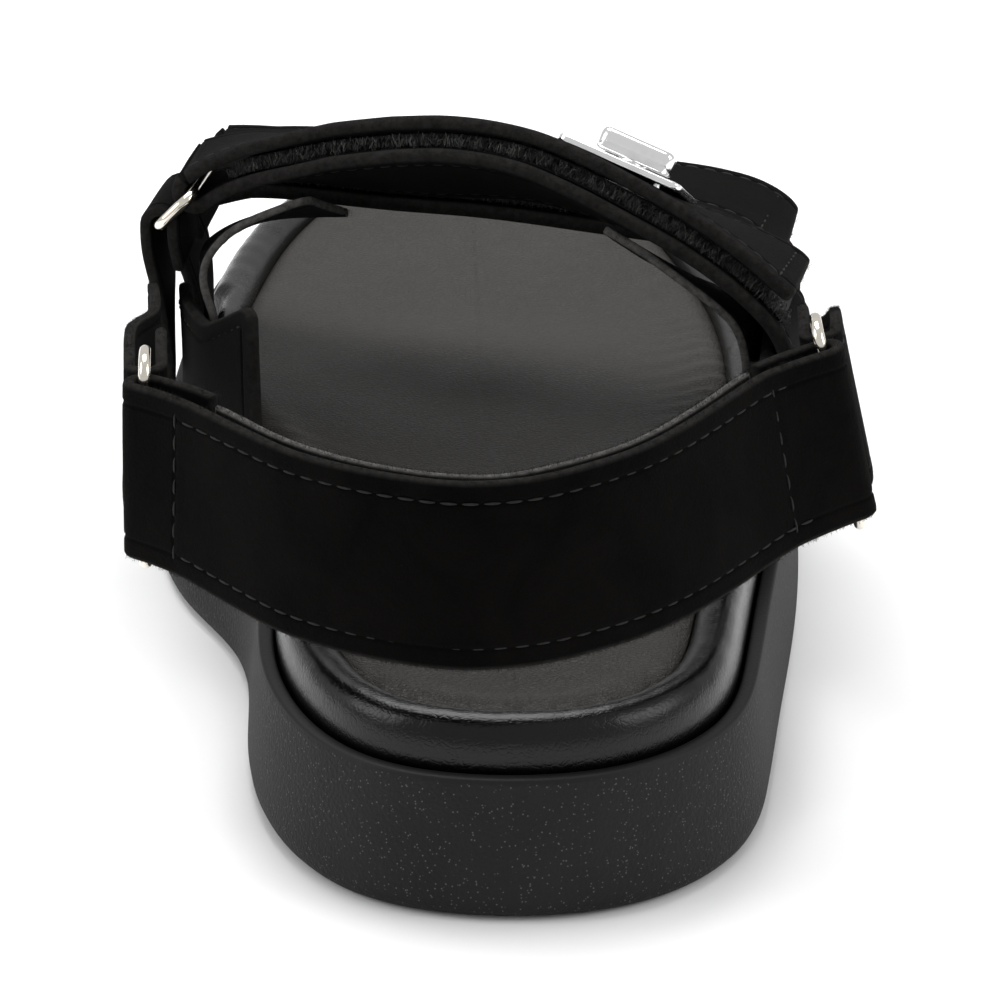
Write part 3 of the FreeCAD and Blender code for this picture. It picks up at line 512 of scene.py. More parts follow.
def rail(inset, height):
    """The outline moved inwards by inset, at a height. Both may be arrays of columns."""
    inset, height = np.broadcast_arrays(inset, height)
    grid = EDGE[:, None] + INWARD[:, None] * np.broadcast_to(inset, (AROUND, inset.shape[-1]))[..., None]
    grid[..., 2] = height
    return grid


print("outline: %d points, %.0f x %.0f mm" % (AROUND, np.ptp(EDGE[:, 0]), np.ptp(EDGE[:, 1])))


# %% Wall and lip
def soft_profile(stations, per_stretch):
    """A smooth line through (inset, height) stations, by distance along them."""
    stations = np.asarray(stations, float)
    knots = travel(stations)
    u = np.concatenate([np.linspace(a, b, n, endpoint=False) for a, b, n in
                        zip(knots, knots[1:], per_stretch)] + [knots[-1:]])
    return spline(knots, stations, u)[0]


def sole_wall():
    foot = [(9.2, 0.0), (6.0, 0.0), (3.0, 0.0), (1.9, 0.12), (1.1, 0.45), (0.5, 1.05),
            (0.14, 1.8), (0.02, 2.6)]
    side = [(-0.12 + 1.66 * t ** 1.25, 2.6 + 17.1 * t) for t in np.linspace(0.05, 1, 26)]
    lip = [(1.6, RIM - 0.5), (1.68, RIM - 0.25), (1.86, RIM - 0.08), (2.15, RIM), (2.8, RIM),
           (3.4, RIM - 0.03), (3.68, RIM - 0.12), (3.84, RIM - 0.32), (3.9, RIM - 0.6)]
    inside = [(3.9, 16.0), (3.9, 11.0), (3.9, 6.3), (4.2, 6.0), (6.5, 6.0), (9.2, 6.0), (9.2, 3.0)]
    profile = np.array(foot + side + lip + inside)
    grid = rail(profile[:, 0], profile[:, 1])
    grid[..., 2] += toe_spring(grid[..., 1]) * np.clip(1 - grid[..., 2] / 16, 0, 1)
    wave = np.sin(np.arange(AROUND) / AROUND * 2 * np.pi * 9)[:, None] * 0.05
    grid[..., 2] += wave * (profile[:, 1] > RIM - 1.5)
    polished = smooth_step(RIM - 0.8, RIM - 0.4, profile[:, 1]) * (profile[:, 0] > 1.5)
    return ring_piece("sole_wall", grid, polished)


wall = sole_wall()
print("wall faces:", len(wall.data.polygons))


# %% Tread with cross grooves
def across_at(y, inset):
    """The left and right x of the outline moved in by inset, at each y."""
    line = (EDGE + INWARD * inset)[:, :2]
    top, low = line[:, 1].argmax(), line[:, 1].argmin()
    order = np.roll(np.arange(AROUND), -low)
    turn = list(order).index(top)
    right, left = line[order[:turn + 1]], line[order[turn:]][::-1]
    return np.interp(y, left[:, 1], left[:, 0]), np.interp(y, right[:, 1], right[:, 0])


def tread():
    """Height of the underside: 0 on the lugs, 2 mm in each groove, with steep sides."""
    pitch, groove, depth, wall_run, inset = 14.0, 3.0, 2.0, 0.25, 8.9
    first = at([0, 14, 0])[1]
    starts = [first + k * pitch for k in range(16) if abs(first + k * pitch + groove / 2) >= groove + 3]
    border = (EDGE + INWARD * inset)[:, 1]
    low, high = border.min() + 0.6, border.max() - 0.6
    marks = np.array([s + d for s in starts for d in (-wall_run, 0, groove, groove + wall_run)])
    y = np.unique(np.concatenate([np.arange(low, high, 1.6), marks[(marks > low) & (marks < high)], [high]]))
    cut = np.zeros_like(y)
    for start in starts:
        inside = np.minimum(y - start + wall_run, start + groove + wall_run - y)
        cut = np.maximum(cut, np.clip(inside / wall_run, 0, 1))
    left, right = across_at(y, inset)
    s = (1 - np.cos(np.linspace(0, np.pi, 60))) / 2
    x = left[:, None] + (right - left)[:, None] * s
    rows = np.broadcast_to(y[:, None], x.shape)
    lift = toe_spring(rows)
    siping = 0.25 * (np.abs(((x + 0.35 * rows) / 7.0) % 1 - 0.5) < 0.06) * (cut[:, None] < 0.5)
    under = np.stack([x, rows, depth * cut[:, None] + siping + lift], 2)
    over = np.stack([x, rows, np.full_like(x, 5.9) + lift * 0.62], 2)
    return sheet_piece("sole_tread", under, over, 0.0)


sole_bottom = tread()
for piece in (wall, sole_bottom):
    finish_piece(piece, RUBBER, "cup_outsole", "sandal")
print("tread faces:", len(sole_bottom.data.polygons))

# %% [markdown]
# ## The padded footbed
# The footbed is foam under a thin leather cover, with a padded roll sewn round it. It is firm
# and hardly swells, so its surface is worked out instead of simulated: a bowl under the heel, a
# swell under the arch, a low pad behind the toes, and puckers where the cover is drawn round
# the tight bend beside the inner quarter. Loops of the outline shrink towards a middle line.

# %% Footbed cover
LEVEL = 25.7


def footbed_height(x, y):
    """Level plus arch, bowl and pad, each a hump that fades as a bell, minus one under the ball."""
    arch = 4.2 * np.exp(-((x + 40) / 22.0) ** 2 - ((y - 82) / 44.0) ** 2)
    bowl = 0.0011 * x * x * np.exp(-((y - 20) / 60.0) ** 2)
    pad = 1.6 * np.exp(-((x + 4) / 20.0) ** 2 - ((y - 112) / 22.0) ** 2)
    ball = -1.5 * np.exp(-((y - 150) / 40.0) ** 2)
    return LEVEL + arch + bowl + pad + ball


def pucker(x, y, depth_in):
    """Folds that fan out from the tight inner bend: waves along the edge that fade inwards."""
    side = np.exp(-((y - 50) / 15.0) ** 2) * (x < 0)
    fan = np.cos(2 * np.pi * (y + 0.5 * depth_in + 1.2 * np.sin(y / 5.0)) / 5.6)
    small = np.exp(-((y - 100) / 30.0) ** 2) * (x > 0) * 0.35
    back = 0.22 * np.exp(-((y + 25) / 14.0) ** 2) * np.cos(2 * np.pi * x / 4.3 + np.sin(x))
    folds = (side * 0.55 + small) * fan * np.exp(-(depth_in / 9.0) ** 2)
    return folds + back * np.exp(-(depth_in / 4.0) ** 2)


def footbed():
    """Loops that shrink to a middle line: the same rows on both sides, so that they meet there."""
    inset, half, count = ROLL_IN - 0.15, 30.0, 250
    border = (EDGE + INWARD * inset)[:, 1]
    y = border.min() + np.ptp(border) * (1 - np.cos(np.linspace(0.008, np.pi - 0.008, count))) / 2
    left, right = across_at(y, inset)
    y_mid = np.clip(y, y.min() + half, y.max() - half)
    mid_left, mid_right = across_at(y_mid, inset)
    spine = np.stack([(mid_left + mid_right) / 2, y_mid, 0 * y], 1)
    outer = np.concatenate([np.stack([right, y, 0 * y], 1), np.stack([left, y, 0 * y], 1)[::-1]])
    middle = np.concatenate([spine, spine[::-1]])
    r = np.concatenate([[0, 0.006, 0.014, 0.026, 0.042, 0.062], np.linspace(0.085, 1, 44)])
    grid = outer[:, None] + (middle - outer)[:, None] * r[None, :, None]
    x, y = grid[..., 0], grid[..., 1]
    depth_in = np.linalg.norm(grid - outer[:, None], axis=2)
    top = footbed_height(x, y) + pucker(x, y, depth_in) - 0.9 * np.exp(-depth_in / 0.9)
    ripple = 0.06 * np.sin(x / 6.0 + np.sin(y / 9.0)) * np.sin(y / 11.0)
    top += 0.5 * np.exp(-((depth_in - 3.5) / 3.0) ** 2) + ripple
    front = grid.copy()
    front[..., 2] = top
    back = grid.copy()
    back[..., 2] = footbed_height(x, y) - 1.7
    closed_front = np.concatenate([front, front[:1]])
    closed_back = np.concatenate([back, back[:1]])
    piece = sheet_piece("footbed_leather_cover", closed_front, closed_back, 0.0)
    merge_points(piece, 1e-6, 1e-13)
    return piece


cover = footbed()
finish_piece(cover, FOOTBED_LEATHER, "footbed_cover", "sandal")
print("footbed faces:", len(cover.data.polygons))


# %% The rolled edge
def room_for_quarters(points):
    """How far the roll is pressed in behind the quarters, the wings and the toe tab."""
    x, y = points[:, 0], points[:, 1]
    soft = 2.5

    def span(low, high):
        return smooth_step(low - soft, low, y) * (1 - smooth_step(high, high + soft, y))

    medial = np.maximum(2.35 * span(52, 143), 4.3 * span(70, 100)) * (x < 0)
    lateral = np.maximum(2.35 * span(43, 115), 4.0 * span(53, 81)) * (x > 0)
    return medial + lateral


def roll():
    """A profile that climbs from inside the cup, crests and tucks under, carried round."""
    above = [(4.3, -5.0), (4.3, -1.5), (4.22, 1.4), (4.45, 3.6), (5.25, 5.7), (6.6, 6.95), (8.0, 7.25),
             (9.4, 6.9), (10.6, 6.05), (11.35, 4.9), (11.6, 3.2), (11.6, -5.0)]
    stations = [(inset, RIM + height) for inset, height in above]
    profile = soft_profile(stations, [2, 3, 4, 5, 5, 5, 5, 5, 4, 3, 2])
    inset, height = profile[:, 0], profile[:, 1]
    press = room_for_quarters(EDGE)[:, None]
    squeeze = (ROLL_IN - ROLL_OUT - press) / (ROLL_IN - ROLL_OUT)
    moved = ROLL_IN - (ROLL_IN - inset[None]) * squeeze
    grid = rail(moved, np.broadcast_to(height, moved.shape))
    round_trip = np.arange(AROUND)[:, None] / AROUND * 2 * np.pi
    crest = np.exp(-((height - RIM - 5.5) / 3.0) ** 2)[None]
    tight = 0.5 + 0.5 * np.cos(round_trip * 3)
    wrinkle = 0.04 * np.sin(round_trip * 97 + 2 * np.sin(round_trip * 5)) * tight
    wrinkle = wrinkle + 0.05 * np.sin(round_trip * 41)
    grid[..., 2] += wrinkle * crest - 0.02 * press * (height > 20)
    return ring_piece("footbed_roll_cover", grid, 0.0)


edge_roll = roll()
finish_piece(edge_roll, ROLL_LEATHER, "footbed_roll", "sandal")
print("roll faces:", len(edge_roll.data.polygons))

# %% [markdown]
# ## Sheets of suede with cut edges
# Quarters, straps, tabs, wings and tapes are all sheets of some thickness. Each is a middle
# surface with an outward direction. Its half thickness falls off near the edges in a rounded
# step, so that a cut edge is squarish but not sharp. Seams press a shallow channel.

# %% Thickness, seams and spacing
def edge_fall(distance, half, least=0.14):
    """Half thickness near an edge: a blunt quarter round, high power, never quite zero."""
    t = np.clip(distance / (0.9 * half), 0, 1)
    return half * np.maximum((1 - (1 - t) ** 2.6) ** (1 / 2.6), least)


def edge_steps(half, span, step, extra=()):
    """Positions from 0 to span: close together at both ends and beside each seam."""
    near = np.array([0, 0.12, 0.3, 0.55, 0.9]) * half
    count = max(2, int((span - 3 * half) / step))
    middle = np.linspace(1.4 * half, span - 1.4 * half, count)
    beside = [s + d for s in extra for d in (-0.55, -0.32, -0.14, 0, 0.14, 0.32, 0.55)]
    return np.unique(np.concatenate([near, middle, span - near, beside]).round(4))


def seam(distance, depth=0.22, wide=0.3):
    """A stitched channel: a narrow bell-shaped dip."""
    return -depth * np.exp(-(distance / wide) ** 2)


def sheet_from(name, middle, out, half, rim, front_relief=0.0, back_relief=0.0):
    """Both faces stand off the middle surface by the half thickness plus their relief."""
    front = middle + out * (half + front_relief)[..., None]
    back = middle - out * (half + back_relief)[..., None]
    return sheet_piece(name, front, back, rim)


STITCH_PATHS = {}
FUZZ_SPOTS = {}


def add_stitches(body, points, out):
    """Remembers a seam line and its outward direction, to be sewn later."""
    STITCH_PATHS.setdefault(body, []).append((points, out))


def add_fuzz(body, points, out, side, count):
    """Remembers edge points where nap fibres stand: out is the face side, side the way off the edge."""
    pick = rng.integers(0, len(points), count)
    FUZZ_SPOTS.setdefault(body, []).append((points[pick], out[pick], side[pick]))


print("sheet helpers ready")


# %% The two quarters
def rounded_top(corners, radius):
    """The upper line of a side wall with each corner cut back to a soft three-point curve."""
    result = []
    for before, here, after in zip(corners, corners[1:], corners[2:]):
        before, here, after = (np.array(p, float) for p in (before, here, after))
        to_before, to_after = np.linalg.norm(before - here), np.linalg.norm(after - here)
        cut = min(radius, 0.4 * to_before, 0.4 * to_after)
        start, end = here + (before - here) * cut / to_before, here + (after - here) * cut / to_after
        ts = np.linspace(0, 1, 7)[:, None]
        result.append(start * (1 - ts) ** 2 + 2 * here * ts * (1 - ts) + end * ts ** 2)
    return np.concatenate(result)


def quarter(name, side, corners, seam_depth):
    """A wall in its slot: x from the outline moved in, rows along y, columns up to the top line."""
    line = rounded_top(corners, 5.0)
    y_low, y_high = at([0, corners[0][0], 0])[1], at([0, corners[-1][0], 0])[1]
    y_line = line[:, 0] * GRADE[1] - HEEL_SEAT
    half = 1.0
    y = y_low + edge_steps(half, y_high - y_low, 0.7, (seam_depth,))
    top = np.interp(y, y_line, line[:, 1], left=line[0, 1])
    top[0] = min(top[0], line[0, 1])
    foot = 12.0
    share = np.linspace(0, 1, 60) ** 0.8
    close = 1 - np.array([0, 0.005, 0.012, 0.022, 0.035, 0.08, 0.09, 0.1])
    share = np.unique(np.concatenate([share, close]))
    z = foot + (top - foot)[:, None] * share
    rows = np.broadcast_to(y[:, None], z.shape)
    middle_inset = 5.25
    left, right = across_at(y, middle_inset)
    x_rail = right if side > 0 else left
    lean = side * 0.6 * (z - 8) / 52
    bow = side * 0.35 * np.sin(np.pi * np.clip((z - 22) / 26, 0, 1)) * np.sin(rows / 9.0)
    middle = np.stack([x_rail[:, None] + lean + bow, rows, z], 2)
    out = np.zeros_like(middle)
    out[..., 0] = side
    slope = np.gradient(x_rail, y)
    out[..., 1] = -side * slope[:, None]
    out = unit(out)
    to_edge = np.minimum(rows - y_low, y_high - rows)
    to_top = top[:, None] - z
    thick = np.minimum(edge_fall(to_edge, half), edge_fall(to_top, half))
    rim = 1 - np.clip(np.minimum(to_edge, to_top) / 0.75, 0, 1) ** 2
    inner_line = np.minimum(rows - y_low, to_top)
    groove = seam(inner_line - seam_depth)
    piece = sheet_from(name, middle, out, thick, rim, groove, groove)
    seam_y = np.linspace(y_low + seam_depth, y_high - 2, 400)
    seam_top = np.interp(seam_y, y_line, line[:, 1], left=line[0, 1]) - seam_depth
    s_left, s_right = across_at(seam_y, middle_inset)
    seam_x = (s_right if side > 0 else s_left) + side * 0.6 * (seam_top - 8) / 52
    face = np.tile([[float(-side), 0.0, 0.0]], (400, 1))
    path = np.stack([seam_x, seam_y, seam_top], 1)
    add_stitches("sandal", path + face * 0.82, face)
    add_stitches("sandal", path - face * 0.82, -face)
    crown = middle[:, -1]
    up = np.tile([[0.0, 0.0, 1.0]], (len(crown), 1))
    add_fuzz("sandal", crown, out[:, -1], up, 900)
    rear = middle[0]
    add_fuzz("sandal", rear, out[0], np.tile([[0.0, -1.0, 0.0]], (len(rear), 1)), 500)
    return piece


MEDIAL_TOP = [(99, 12), (99, 56.7), (119, 46.6), (128, 46.4), (150, 44), (161, 34), (161, 12)]
LATERAL_TOP = [(89, 12), (89, 46.6), (95, 49.2), (116, 51.5), (126, 43.5), (154, 40), (163, 31),
               (163, 12)]
quarters = [quarter("medial_quarter_suede", -1, MEDIAL_TOP, 3.0),
            quarter("lateral_quarter_suede", 1, LATERAL_TOP, 3.0)]
for piece, node in zip(quarters, ("medial_quarter", "lateral_quarter")):
    finish_piece(piece, SUEDE, node, "sandal")
print("quarter faces:", [len(p.data.polygons) for p in quarters])

# %% [markdown]
# ## Straps as ribbons
# A strap follows a line of named points. At each point the direction of its width is known too.
# The outward direction is square to both. A fold round a ring's bar is a half turn at one end of
# the line, and a short return leg may follow it. All of this is one path by distance, so the
# suede runs on round the fold without a seam.

# %% The strap line
class Strap:
    """A ribbon line. frame(u) gives centre, run, across and outward direction at distance u."""

    def __init__(self, stations, width, edge=True, made=None):
        self.width = width
        if made is None:
            points = on_upper([p for p, _ in stations])
            widths = np.array([w for _, w in stations], float)
            self.across = unit(widths * (1, 1, WIDTH_SQUASH) + widths[:, 1:2] * (0, 0, RISE))
        else:
            points, self.across = made
        self.knots = travel(points)
        self.length = self.knots[-1]
        self.centres = points + self.across * (width / 2 if edge else 0)

    def frame(self, u):
        centre, rate = spline(self.knots, self.centres, u)
        across = unit(look_up(u, self.knots, self.across))
        normal = unit(np.cross(rate, across))
        return centre, np.cross(across, normal), across, normal

    def path(self, s, side, radius, start_fold=True, end_fold=False):
        """Middle points, across and outward directions along a run that may turn round a bar.

        On the run the sheet stands off the line by the radius. Past an end it goes round a half
        circle of that radius, and beyond the half circle back along the line on the other side.
        """
        turn = np.pi * radius
        over_start = np.where(start_fold, np.clip(-s, 0, None), 0)
        over_end = np.where(end_fold, np.clip(s - self.length, 0, None), 0)
        over = np.maximum(over_start, over_end)
        back = np.clip(over - turn, 0, None)
        u = np.where(over_end > 0, self.length - back, np.where(over_start > 0, back, s))
        angle = np.clip(over / radius, 0, np.pi)
        heading = np.where(over_end > 0, 1.0, -1.0)
        centre, run, across, normal = self.frame(u)
        out = normal * (side * np.cos(angle))[:, None] + run * (heading * np.sin(angle))[:, None]
        return centre + out * radius, across, out


def strap_sheet(name, line, s, side, radius, thick, width=None, end_width=None, seams=(),
                start_fold=True, end_fold=False, round_ends=(True, True), corner=0.0, sway=0.12,
                cross_seams=()):
    """A strap or tab as a sheet: rows along its path, columns across its width."""
    middle, across, out = line.path(s, side, radius, start_fold, end_fold)
    first = line.width if width is None else width
    last = first if end_width is None else end_width
    gone = travel(middle)
    total = gone[-1]
    wide = first + (last - first) * gone / total
    near_end = np.clip(total - gone, 0, max(corner, 1e-6))
    if corner:
        wide = wide - 2 * (corner - np.sqrt(np.clip(corner ** 2 - (corner - near_end) ** 2, 0, None)))
    half = thick / 2
    steps = edge_steps(half, first, 0.75, tuple(seams) + tuple(first - d for d in seams))
    v = steps / first * 2 - 1
    place = v[None] * wide[:, None] / 2
    to_side = np.minimum(steps, first - steps)[None]
    fall = np.broadcast_to(edge_fall(to_side, half), place.shape).copy()
    ends = []
    for at_end, distance in zip(round_ends, (gone, total - gone)):
        if at_end:
            fall = np.minimum(fall, edge_fall(distance, half)[:, None])
            ends.append(distance)
    to_edge = np.broadcast_to(to_side, place.shape)
    for distance in ends:
        to_edge = np.minimum(to_edge, distance[:, None])
    rim = 1 - np.clip(to_edge / (0.75 * half), 0, 1) ** 2
    groove = np.zeros_like(place)
    for distance in seams:
        groove = groove + seam(to_side - distance)
    for position in cross_seams:
        groove = groove + seam((gone - position)[:, None]) * (to_side > 2.2)
    drift = sway * np.sin(gone / 11.0 + 1.3)[:, None] * np.sin(v * 2.2 + gone[:, None] / 23.0)
    soft = 0.05 * np.sin(gone / 2.9 + 0.7 * np.sin(gone / 7.0))[:, None] * np.abs(v[None]) ** 6
    points = middle[:, None] + across[:, None] * (place + soft)[..., None] + out[:, None] * drift[..., None]
    outward = np.broadcast_to(out[:, None], points.shape)
    piece = sheet_from(name, points, outward, fall, rim, groove, groove)
    return piece, points, outward, np.broadcast_to(across[:, None], points.shape), gone, wide


def steps_along(start, end, step, half, round_start=True, extra=()):
    """Distances from start to end, closer at rounded ends and beside cross seams."""
    near = np.array([0, 0.12, 0.3, 0.55, 0.9]) * half
    parts = [np.linspace(start, end, max(3, int((end - start) / step))), end - near]
    if round_start:
        parts.append(start + near)
    parts += [[e - 0.5, e - 0.25, e, e + 0.25, e + 0.5] for e in extra]
    joined = np.unique(np.concatenate(parts).round(3))
    return joined[(joined >= start - 1e-6) & (joined <= end + 1e-6)]


def sew(body, made, distance, thick, both=True, span=(0.0, 1.0)):
    """Stitch lines at a distance in from both long edges, on one or both faces."""
    _, points, outward, across, gone, wide = made
    keep = (gone >= gone[-1] * span[0]) & (gone <= gone[-1] * span[1])
    centre = (points[:, 0] + points[:, -1]) / 2
    for sign in (-1, 1):
        track = centre + across[:, 0] * (sign * (wide / 2 - distance))[:, None]
        for face in ((1, -1) if both else (1,)):
            out = outward[:, 0] * face
            add_stitches(body, (track + out * (thick / 2 - 0.16))[keep], out[keep])


def sew_across(body, made, position, thick, inset=2.8):
    """One stitch line across the strap at a distance along it, on its outer face."""
    _, points, outward, across, gone, wide = made
    row = int(np.abs(gone - position).argmin())
    centre = (points[row, 0] + points[row, -1]) / 2
    reach = np.linspace(-wide[row] / 2 + inset, wide[row] / 2 - inset, 60)[:, None]
    out = np.broadcast_to(outward[row, 0], (60, 3))
    add_stitches(body, centre + across[row, 0] * reach + out * (thick / 2 - 0.16), out)


def fuzz(body, made, count):
    """Nap fibres off both long edges and the free end."""
    _, points, outward, across, _, _ = made
    for column, sign in ((0, -1), (-1, 1)):
        add_fuzz(body, points[:, column], outward[:, column], across[:, column] * sign, count)
    away = unit(points[-1] - points[-3])
    add_fuzz(body, points[-1], outward[-1], away, count // 6)


print("strap helpers ready")

# %% [markdown]
# ### The lines themselves
# The instep and toe lines are written along the rear edge of the strap, because that edge can be
# measured. The heel strap, its tabs and the wings run along their middle or rear edge as noted.

# %% Strap lines on the master last
WIDTH, BAND, SUEDE_THICK, LINING_THICK = 26.0, 2.2, 1.7, 1.3
FOLD_IN = 1.25 + 0.35 / 2
TAB_IN = 1.75 / 2 + 0.45
INSTEP_BAR, TOE_BAR = (0.08, 0.96, -0.26), (0.10, 0.97, -0.20)
instep_line = Strap([
    ((-52.3, 130, 56.6), INSTEP_BAR), ((-46.0, 128.0, 61.5), (0.14, 0.93, -0.34)),
    ((-39.0, 125.2, 65.3), (0.20, 0.88, -0.44)), ((-29.3, 121.0, 69.9), (0.26, 0.80, -0.54)),
    ((-20.0, 116.6, 73.3), (0.30, 0.75, -0.59)), ((-12.4, 113.3, 75.2), (0.30, 0.74, -0.60)),
    ((-5.0, 110.4, 75.9), (0.30, 0.74, -0.60)), ((3.0, 107.5, 75.2), (0.30, 0.74, -0.60)),
    ((13.0, 103.7, 72.0), (0.28, 0.77, -0.57)), ((26.5, 98.7, 65.8), (0.24, 0.84, -0.48)),
    ((35.0, 95.4, 60.6), (0.20, 0.90, -0.38)), ((42.6, 92.6, 53.8), (0.15, 0.95, -0.26)),
    ((46.4, 91.5, 46.0), (0.12, 0.98, -0.12)), ((47.0, 91.0, 33.0), (0.10, 0.99, -0.13)),
    ((46.6, 91.0, 15.0), (0.10, 0.99, -0.13)),
], WIDTH)
toe_line = Strap([
    ((-51.5, 165.0, 40.0), TOE_BAR), ((-45.0, 161.5, 43.6), (0.16, 0.95, -0.27)),
    ((-34.0, 154.5, 46.6), (0.22, 0.94, -0.26)), ((-20.0, 147.5, 48.4), (0.29, 0.92, -0.24)),
    ((-8.0, 143.0, 49.6), (0.32, 0.91, -0.24)), ((5.0, 138.6, 50.2), (0.32, 0.91, -0.24)),
    ((18.0, 134.0, 50.4), (0.29, 0.92, -0.24)), ((30.3, 129.6, 50.2), (0.24, 0.94, -0.24)),
    ((37.0, 127.2, 48.4), (0.20, 0.95, -0.22)), ((43.0, 125.4, 43.6), (0.14, 0.98, -0.16)),
    ((48.4, 124.4, 36.0), (0.08, 0.99, -0.10)), ((49.4, 124.0, 24.0), (0.04, 1.0, -0.14)),
    ((49.4, 124.0, 10.0), (0.04, 1.0, -0.14)),
], WIDTH)
HEEL_MEDIAL, HEEL_LATERAL = (0.02, 0.0, 1.0), (-0.21, 0.0, 0.98)
heel_line = Strap([
    ((-55.0, 41.0, 54.6), HEEL_MEDIAL), ((-46.9, 34.0, 55.5), (0.03, 0.0, 1.0)),
    ((-37.9, 23.7, 56.2), (0.04, 0.04, 0.99)), ((-26.4, 13.2, 56.7), (0.05, 0.08, 0.99)),
    ((-14.7, 7.9, 57.0), (0.03, 0.11, 0.99)), ((-5.0, 6.2, 57.0), (0.0, 0.12, 0.99)),
    ((4.0, 8.2, 57.0), (-0.03, 0.12, 0.99)), ((14.2, 13.5, 56.9), (-0.07, 0.12, 0.99)),
    ((26.8, 25.5, 56.6), (-0.12, 0.10, 0.98)), ((38.3, 40.2, 56.4), (-0.17, 0.06, 0.98)),
    ((49.6, 49.0, 56.4), HEEL_LATERAL),
], WIDTH, edge=False)
medial_tab_line = Strap([
    ((-55.3, 48.2, 54.6), HEEL_MEDIAL), ((-55.8, 54, 54.3), (0.02, 0.10, 0.99)),
    ((-56.6, 66, 51.2), (0.02, 0.22, 0.97)), ((-56.8, 86, 43.8), (0.02, 0.28, 0.96)),
    ((-55.6, 104, 37.6), (0.02, 0.26, 0.96)), ((-56.6, 121, 34.6), (0.0, 0.12, 0.99)),
], WIDTH, edge=False)
lateral_tab_line = Strap([
    ((49.6, 56.2, 56.4), HEEL_LATERAL), ((49.8, 61.5, 56.0), (-0.20, 0.10, 0.97)),
    ((49.4, 70, 52.0), (-0.16, 0.24, 0.95)), ((47.4, 80, 45.0), (-0.12, 0.32, 0.94)),
    ((45.6, 89, 39.4), (-0.06, 0.30, 0.95)),
], WIDTH, edge=False)
lateral_wing_line = Strap([
    ((38.4, 101, 2), (0.12, 0.99, -0.14)), ((38.6, 99, 22), (0.12, 0.99, -0.14)),
    ((38.4, 97, 41), (0.14, 0.97, -0.12)), ((35.6, 95.6, 50.6), (0.20, 0.90, -0.34)),
    ((29.0, 97.6, 56.2), (0.24, 0.84, -0.46)), ((21.5, 100.5, 61.2), (0.28, 0.77, -0.56)),
    ((14.0, 103.3, 65.2), (0.30, 0.74, -0.60)),
], WIDTH - 2)
medial_wing_line = Strap([
    ((-46.4, 119, 0), (-0.20, 0.97, -0.14)), ((-47.4, 121, 18), (-0.18, 0.98, -0.14)),
    ((-49.8, 123.5, 36), (-0.12, 0.98, -0.14)), ((-51.4, 125.8, 44), (0.0, 0.96, -0.26)),
    ((-47.6, 126.2, 50.8), (0.14, 0.92, -0.34)), ((-40.6, 124.4, 56.2), (0.22, 0.87, -0.44)),
    ((-33.4, 122.0, 60.6), (0.27, 0.80, -0.53)),
], WIDTH - 2)
INSTEP_END, TOE_END, CLASP_AT = instep_line.knots[11], toe_line.knots[9], instep_line.knots[8]
print("strap lengths in mm:", [round(l.length) for l in (instep_line, toe_line, heel_line)])

# %% [markdown]
# ### Instep and toe straps
# Each strap rises from the outer side, crosses the foot and turns round its ring. Its free end
# comes back on top as the flap. The lower run with its fold stays with the sandal, and the flap rides on its
# own body.

# %% Front straps and flaps
FOLD_MID, SEAM_IN = FOLD_IN + BAND / 2, 2.8
for name, line, end in (("instep", instep_line, INSTEP_END), ("toe", toe_line, TOE_END)):
    turn = np.pi * FOLD_MID
    s = steps_along(-turn, line.length, 0.85, BAND / 2, round_start=False)
    lower = strap_sheet(name + "_strap_suede", line, s, -1, FOLD_MID, BAND, seams=(SEAM_IN,),
                        round_ends=(False, True))
    finish_piece(lower[0], SUEDE, name + "_strap", "sandal")
    sew("sandal", lower, SEAM_IN, BAND)
    fuzz("sandal", lower, 2600)
    s = steps_along(0.0, end, 0.85, BAND / 2, round_start=False, extra=(end - 4.0,))
    flap = strap_sheet(name + "_flap_suede", line, s, 1, FOLD_MID, BAND, seams=(SEAM_IN,),
                       start_fold=False, round_ends=(False, True), corner=3.0,
                       cross_seams=(end - SEAM_IN,))
    finish_piece(flap[0], SUEDE, name + "_flap", name + "_flap")
    sew(name + "_flap", flap, SEAM_IN, BAND, span=(0.0, 0.97))
    sew_across(name + "_flap", flap, end - SEAM_IN, BAND)
    fuzz(name + "_flap", flap, 1900)
    print(name, "faces of strap and flap:", len(lower[0].data.polygons), len(flap[0].data.polygons))

# %% [markdown]
# ### Heel strap, lining and tabs
# The heel strap is turned round a ring at each end and stitched down. Its lining is left with a
# raw grey edge that stands a little above the suede.

# %% Heel strap
HEEL_MID = TAB_IN + SUEDE_THICK / 2
HEEL_TURN = np.pi * HEEL_MID
LEG, SEAM_MEDIAL, SEAM_LATERAL = 11, 8.5, 9.5
turned_in = HEEL_TURN + LEG
cross = (turned_in + SEAM_MEDIAL, turned_in + heel_line.length - SEAM_LATERAL)
s = steps_along(-HEEL_TURN - LEG, heel_line.length + HEEL_TURN + LEG, 0.8, SUEDE_THICK / 2,
                extra=(SEAM_MEDIAL, heel_line.length - SEAM_LATERAL))
heel = strap_sheet("heel_strap_suede", heel_line, s, 1, HEEL_MID, SUEDE_THICK, seams=(3.0,),
                   end_fold=True, sway=0.2, cross_seams=cross)
finish_piece(heel[0], SUEDE, "heel_strap", "heel_strap")
front = (turned_in + 9) / heel[4][-1]
sew("heel_strap", heel, 3.0, SUEDE_THICK, both=False, span=(front, 1 - front))
for position in cross:
    sew_across("heel_strap", heel, position, SUEDE_THICK, 1.6)
fuzz("heel_strap", heel, 4200)

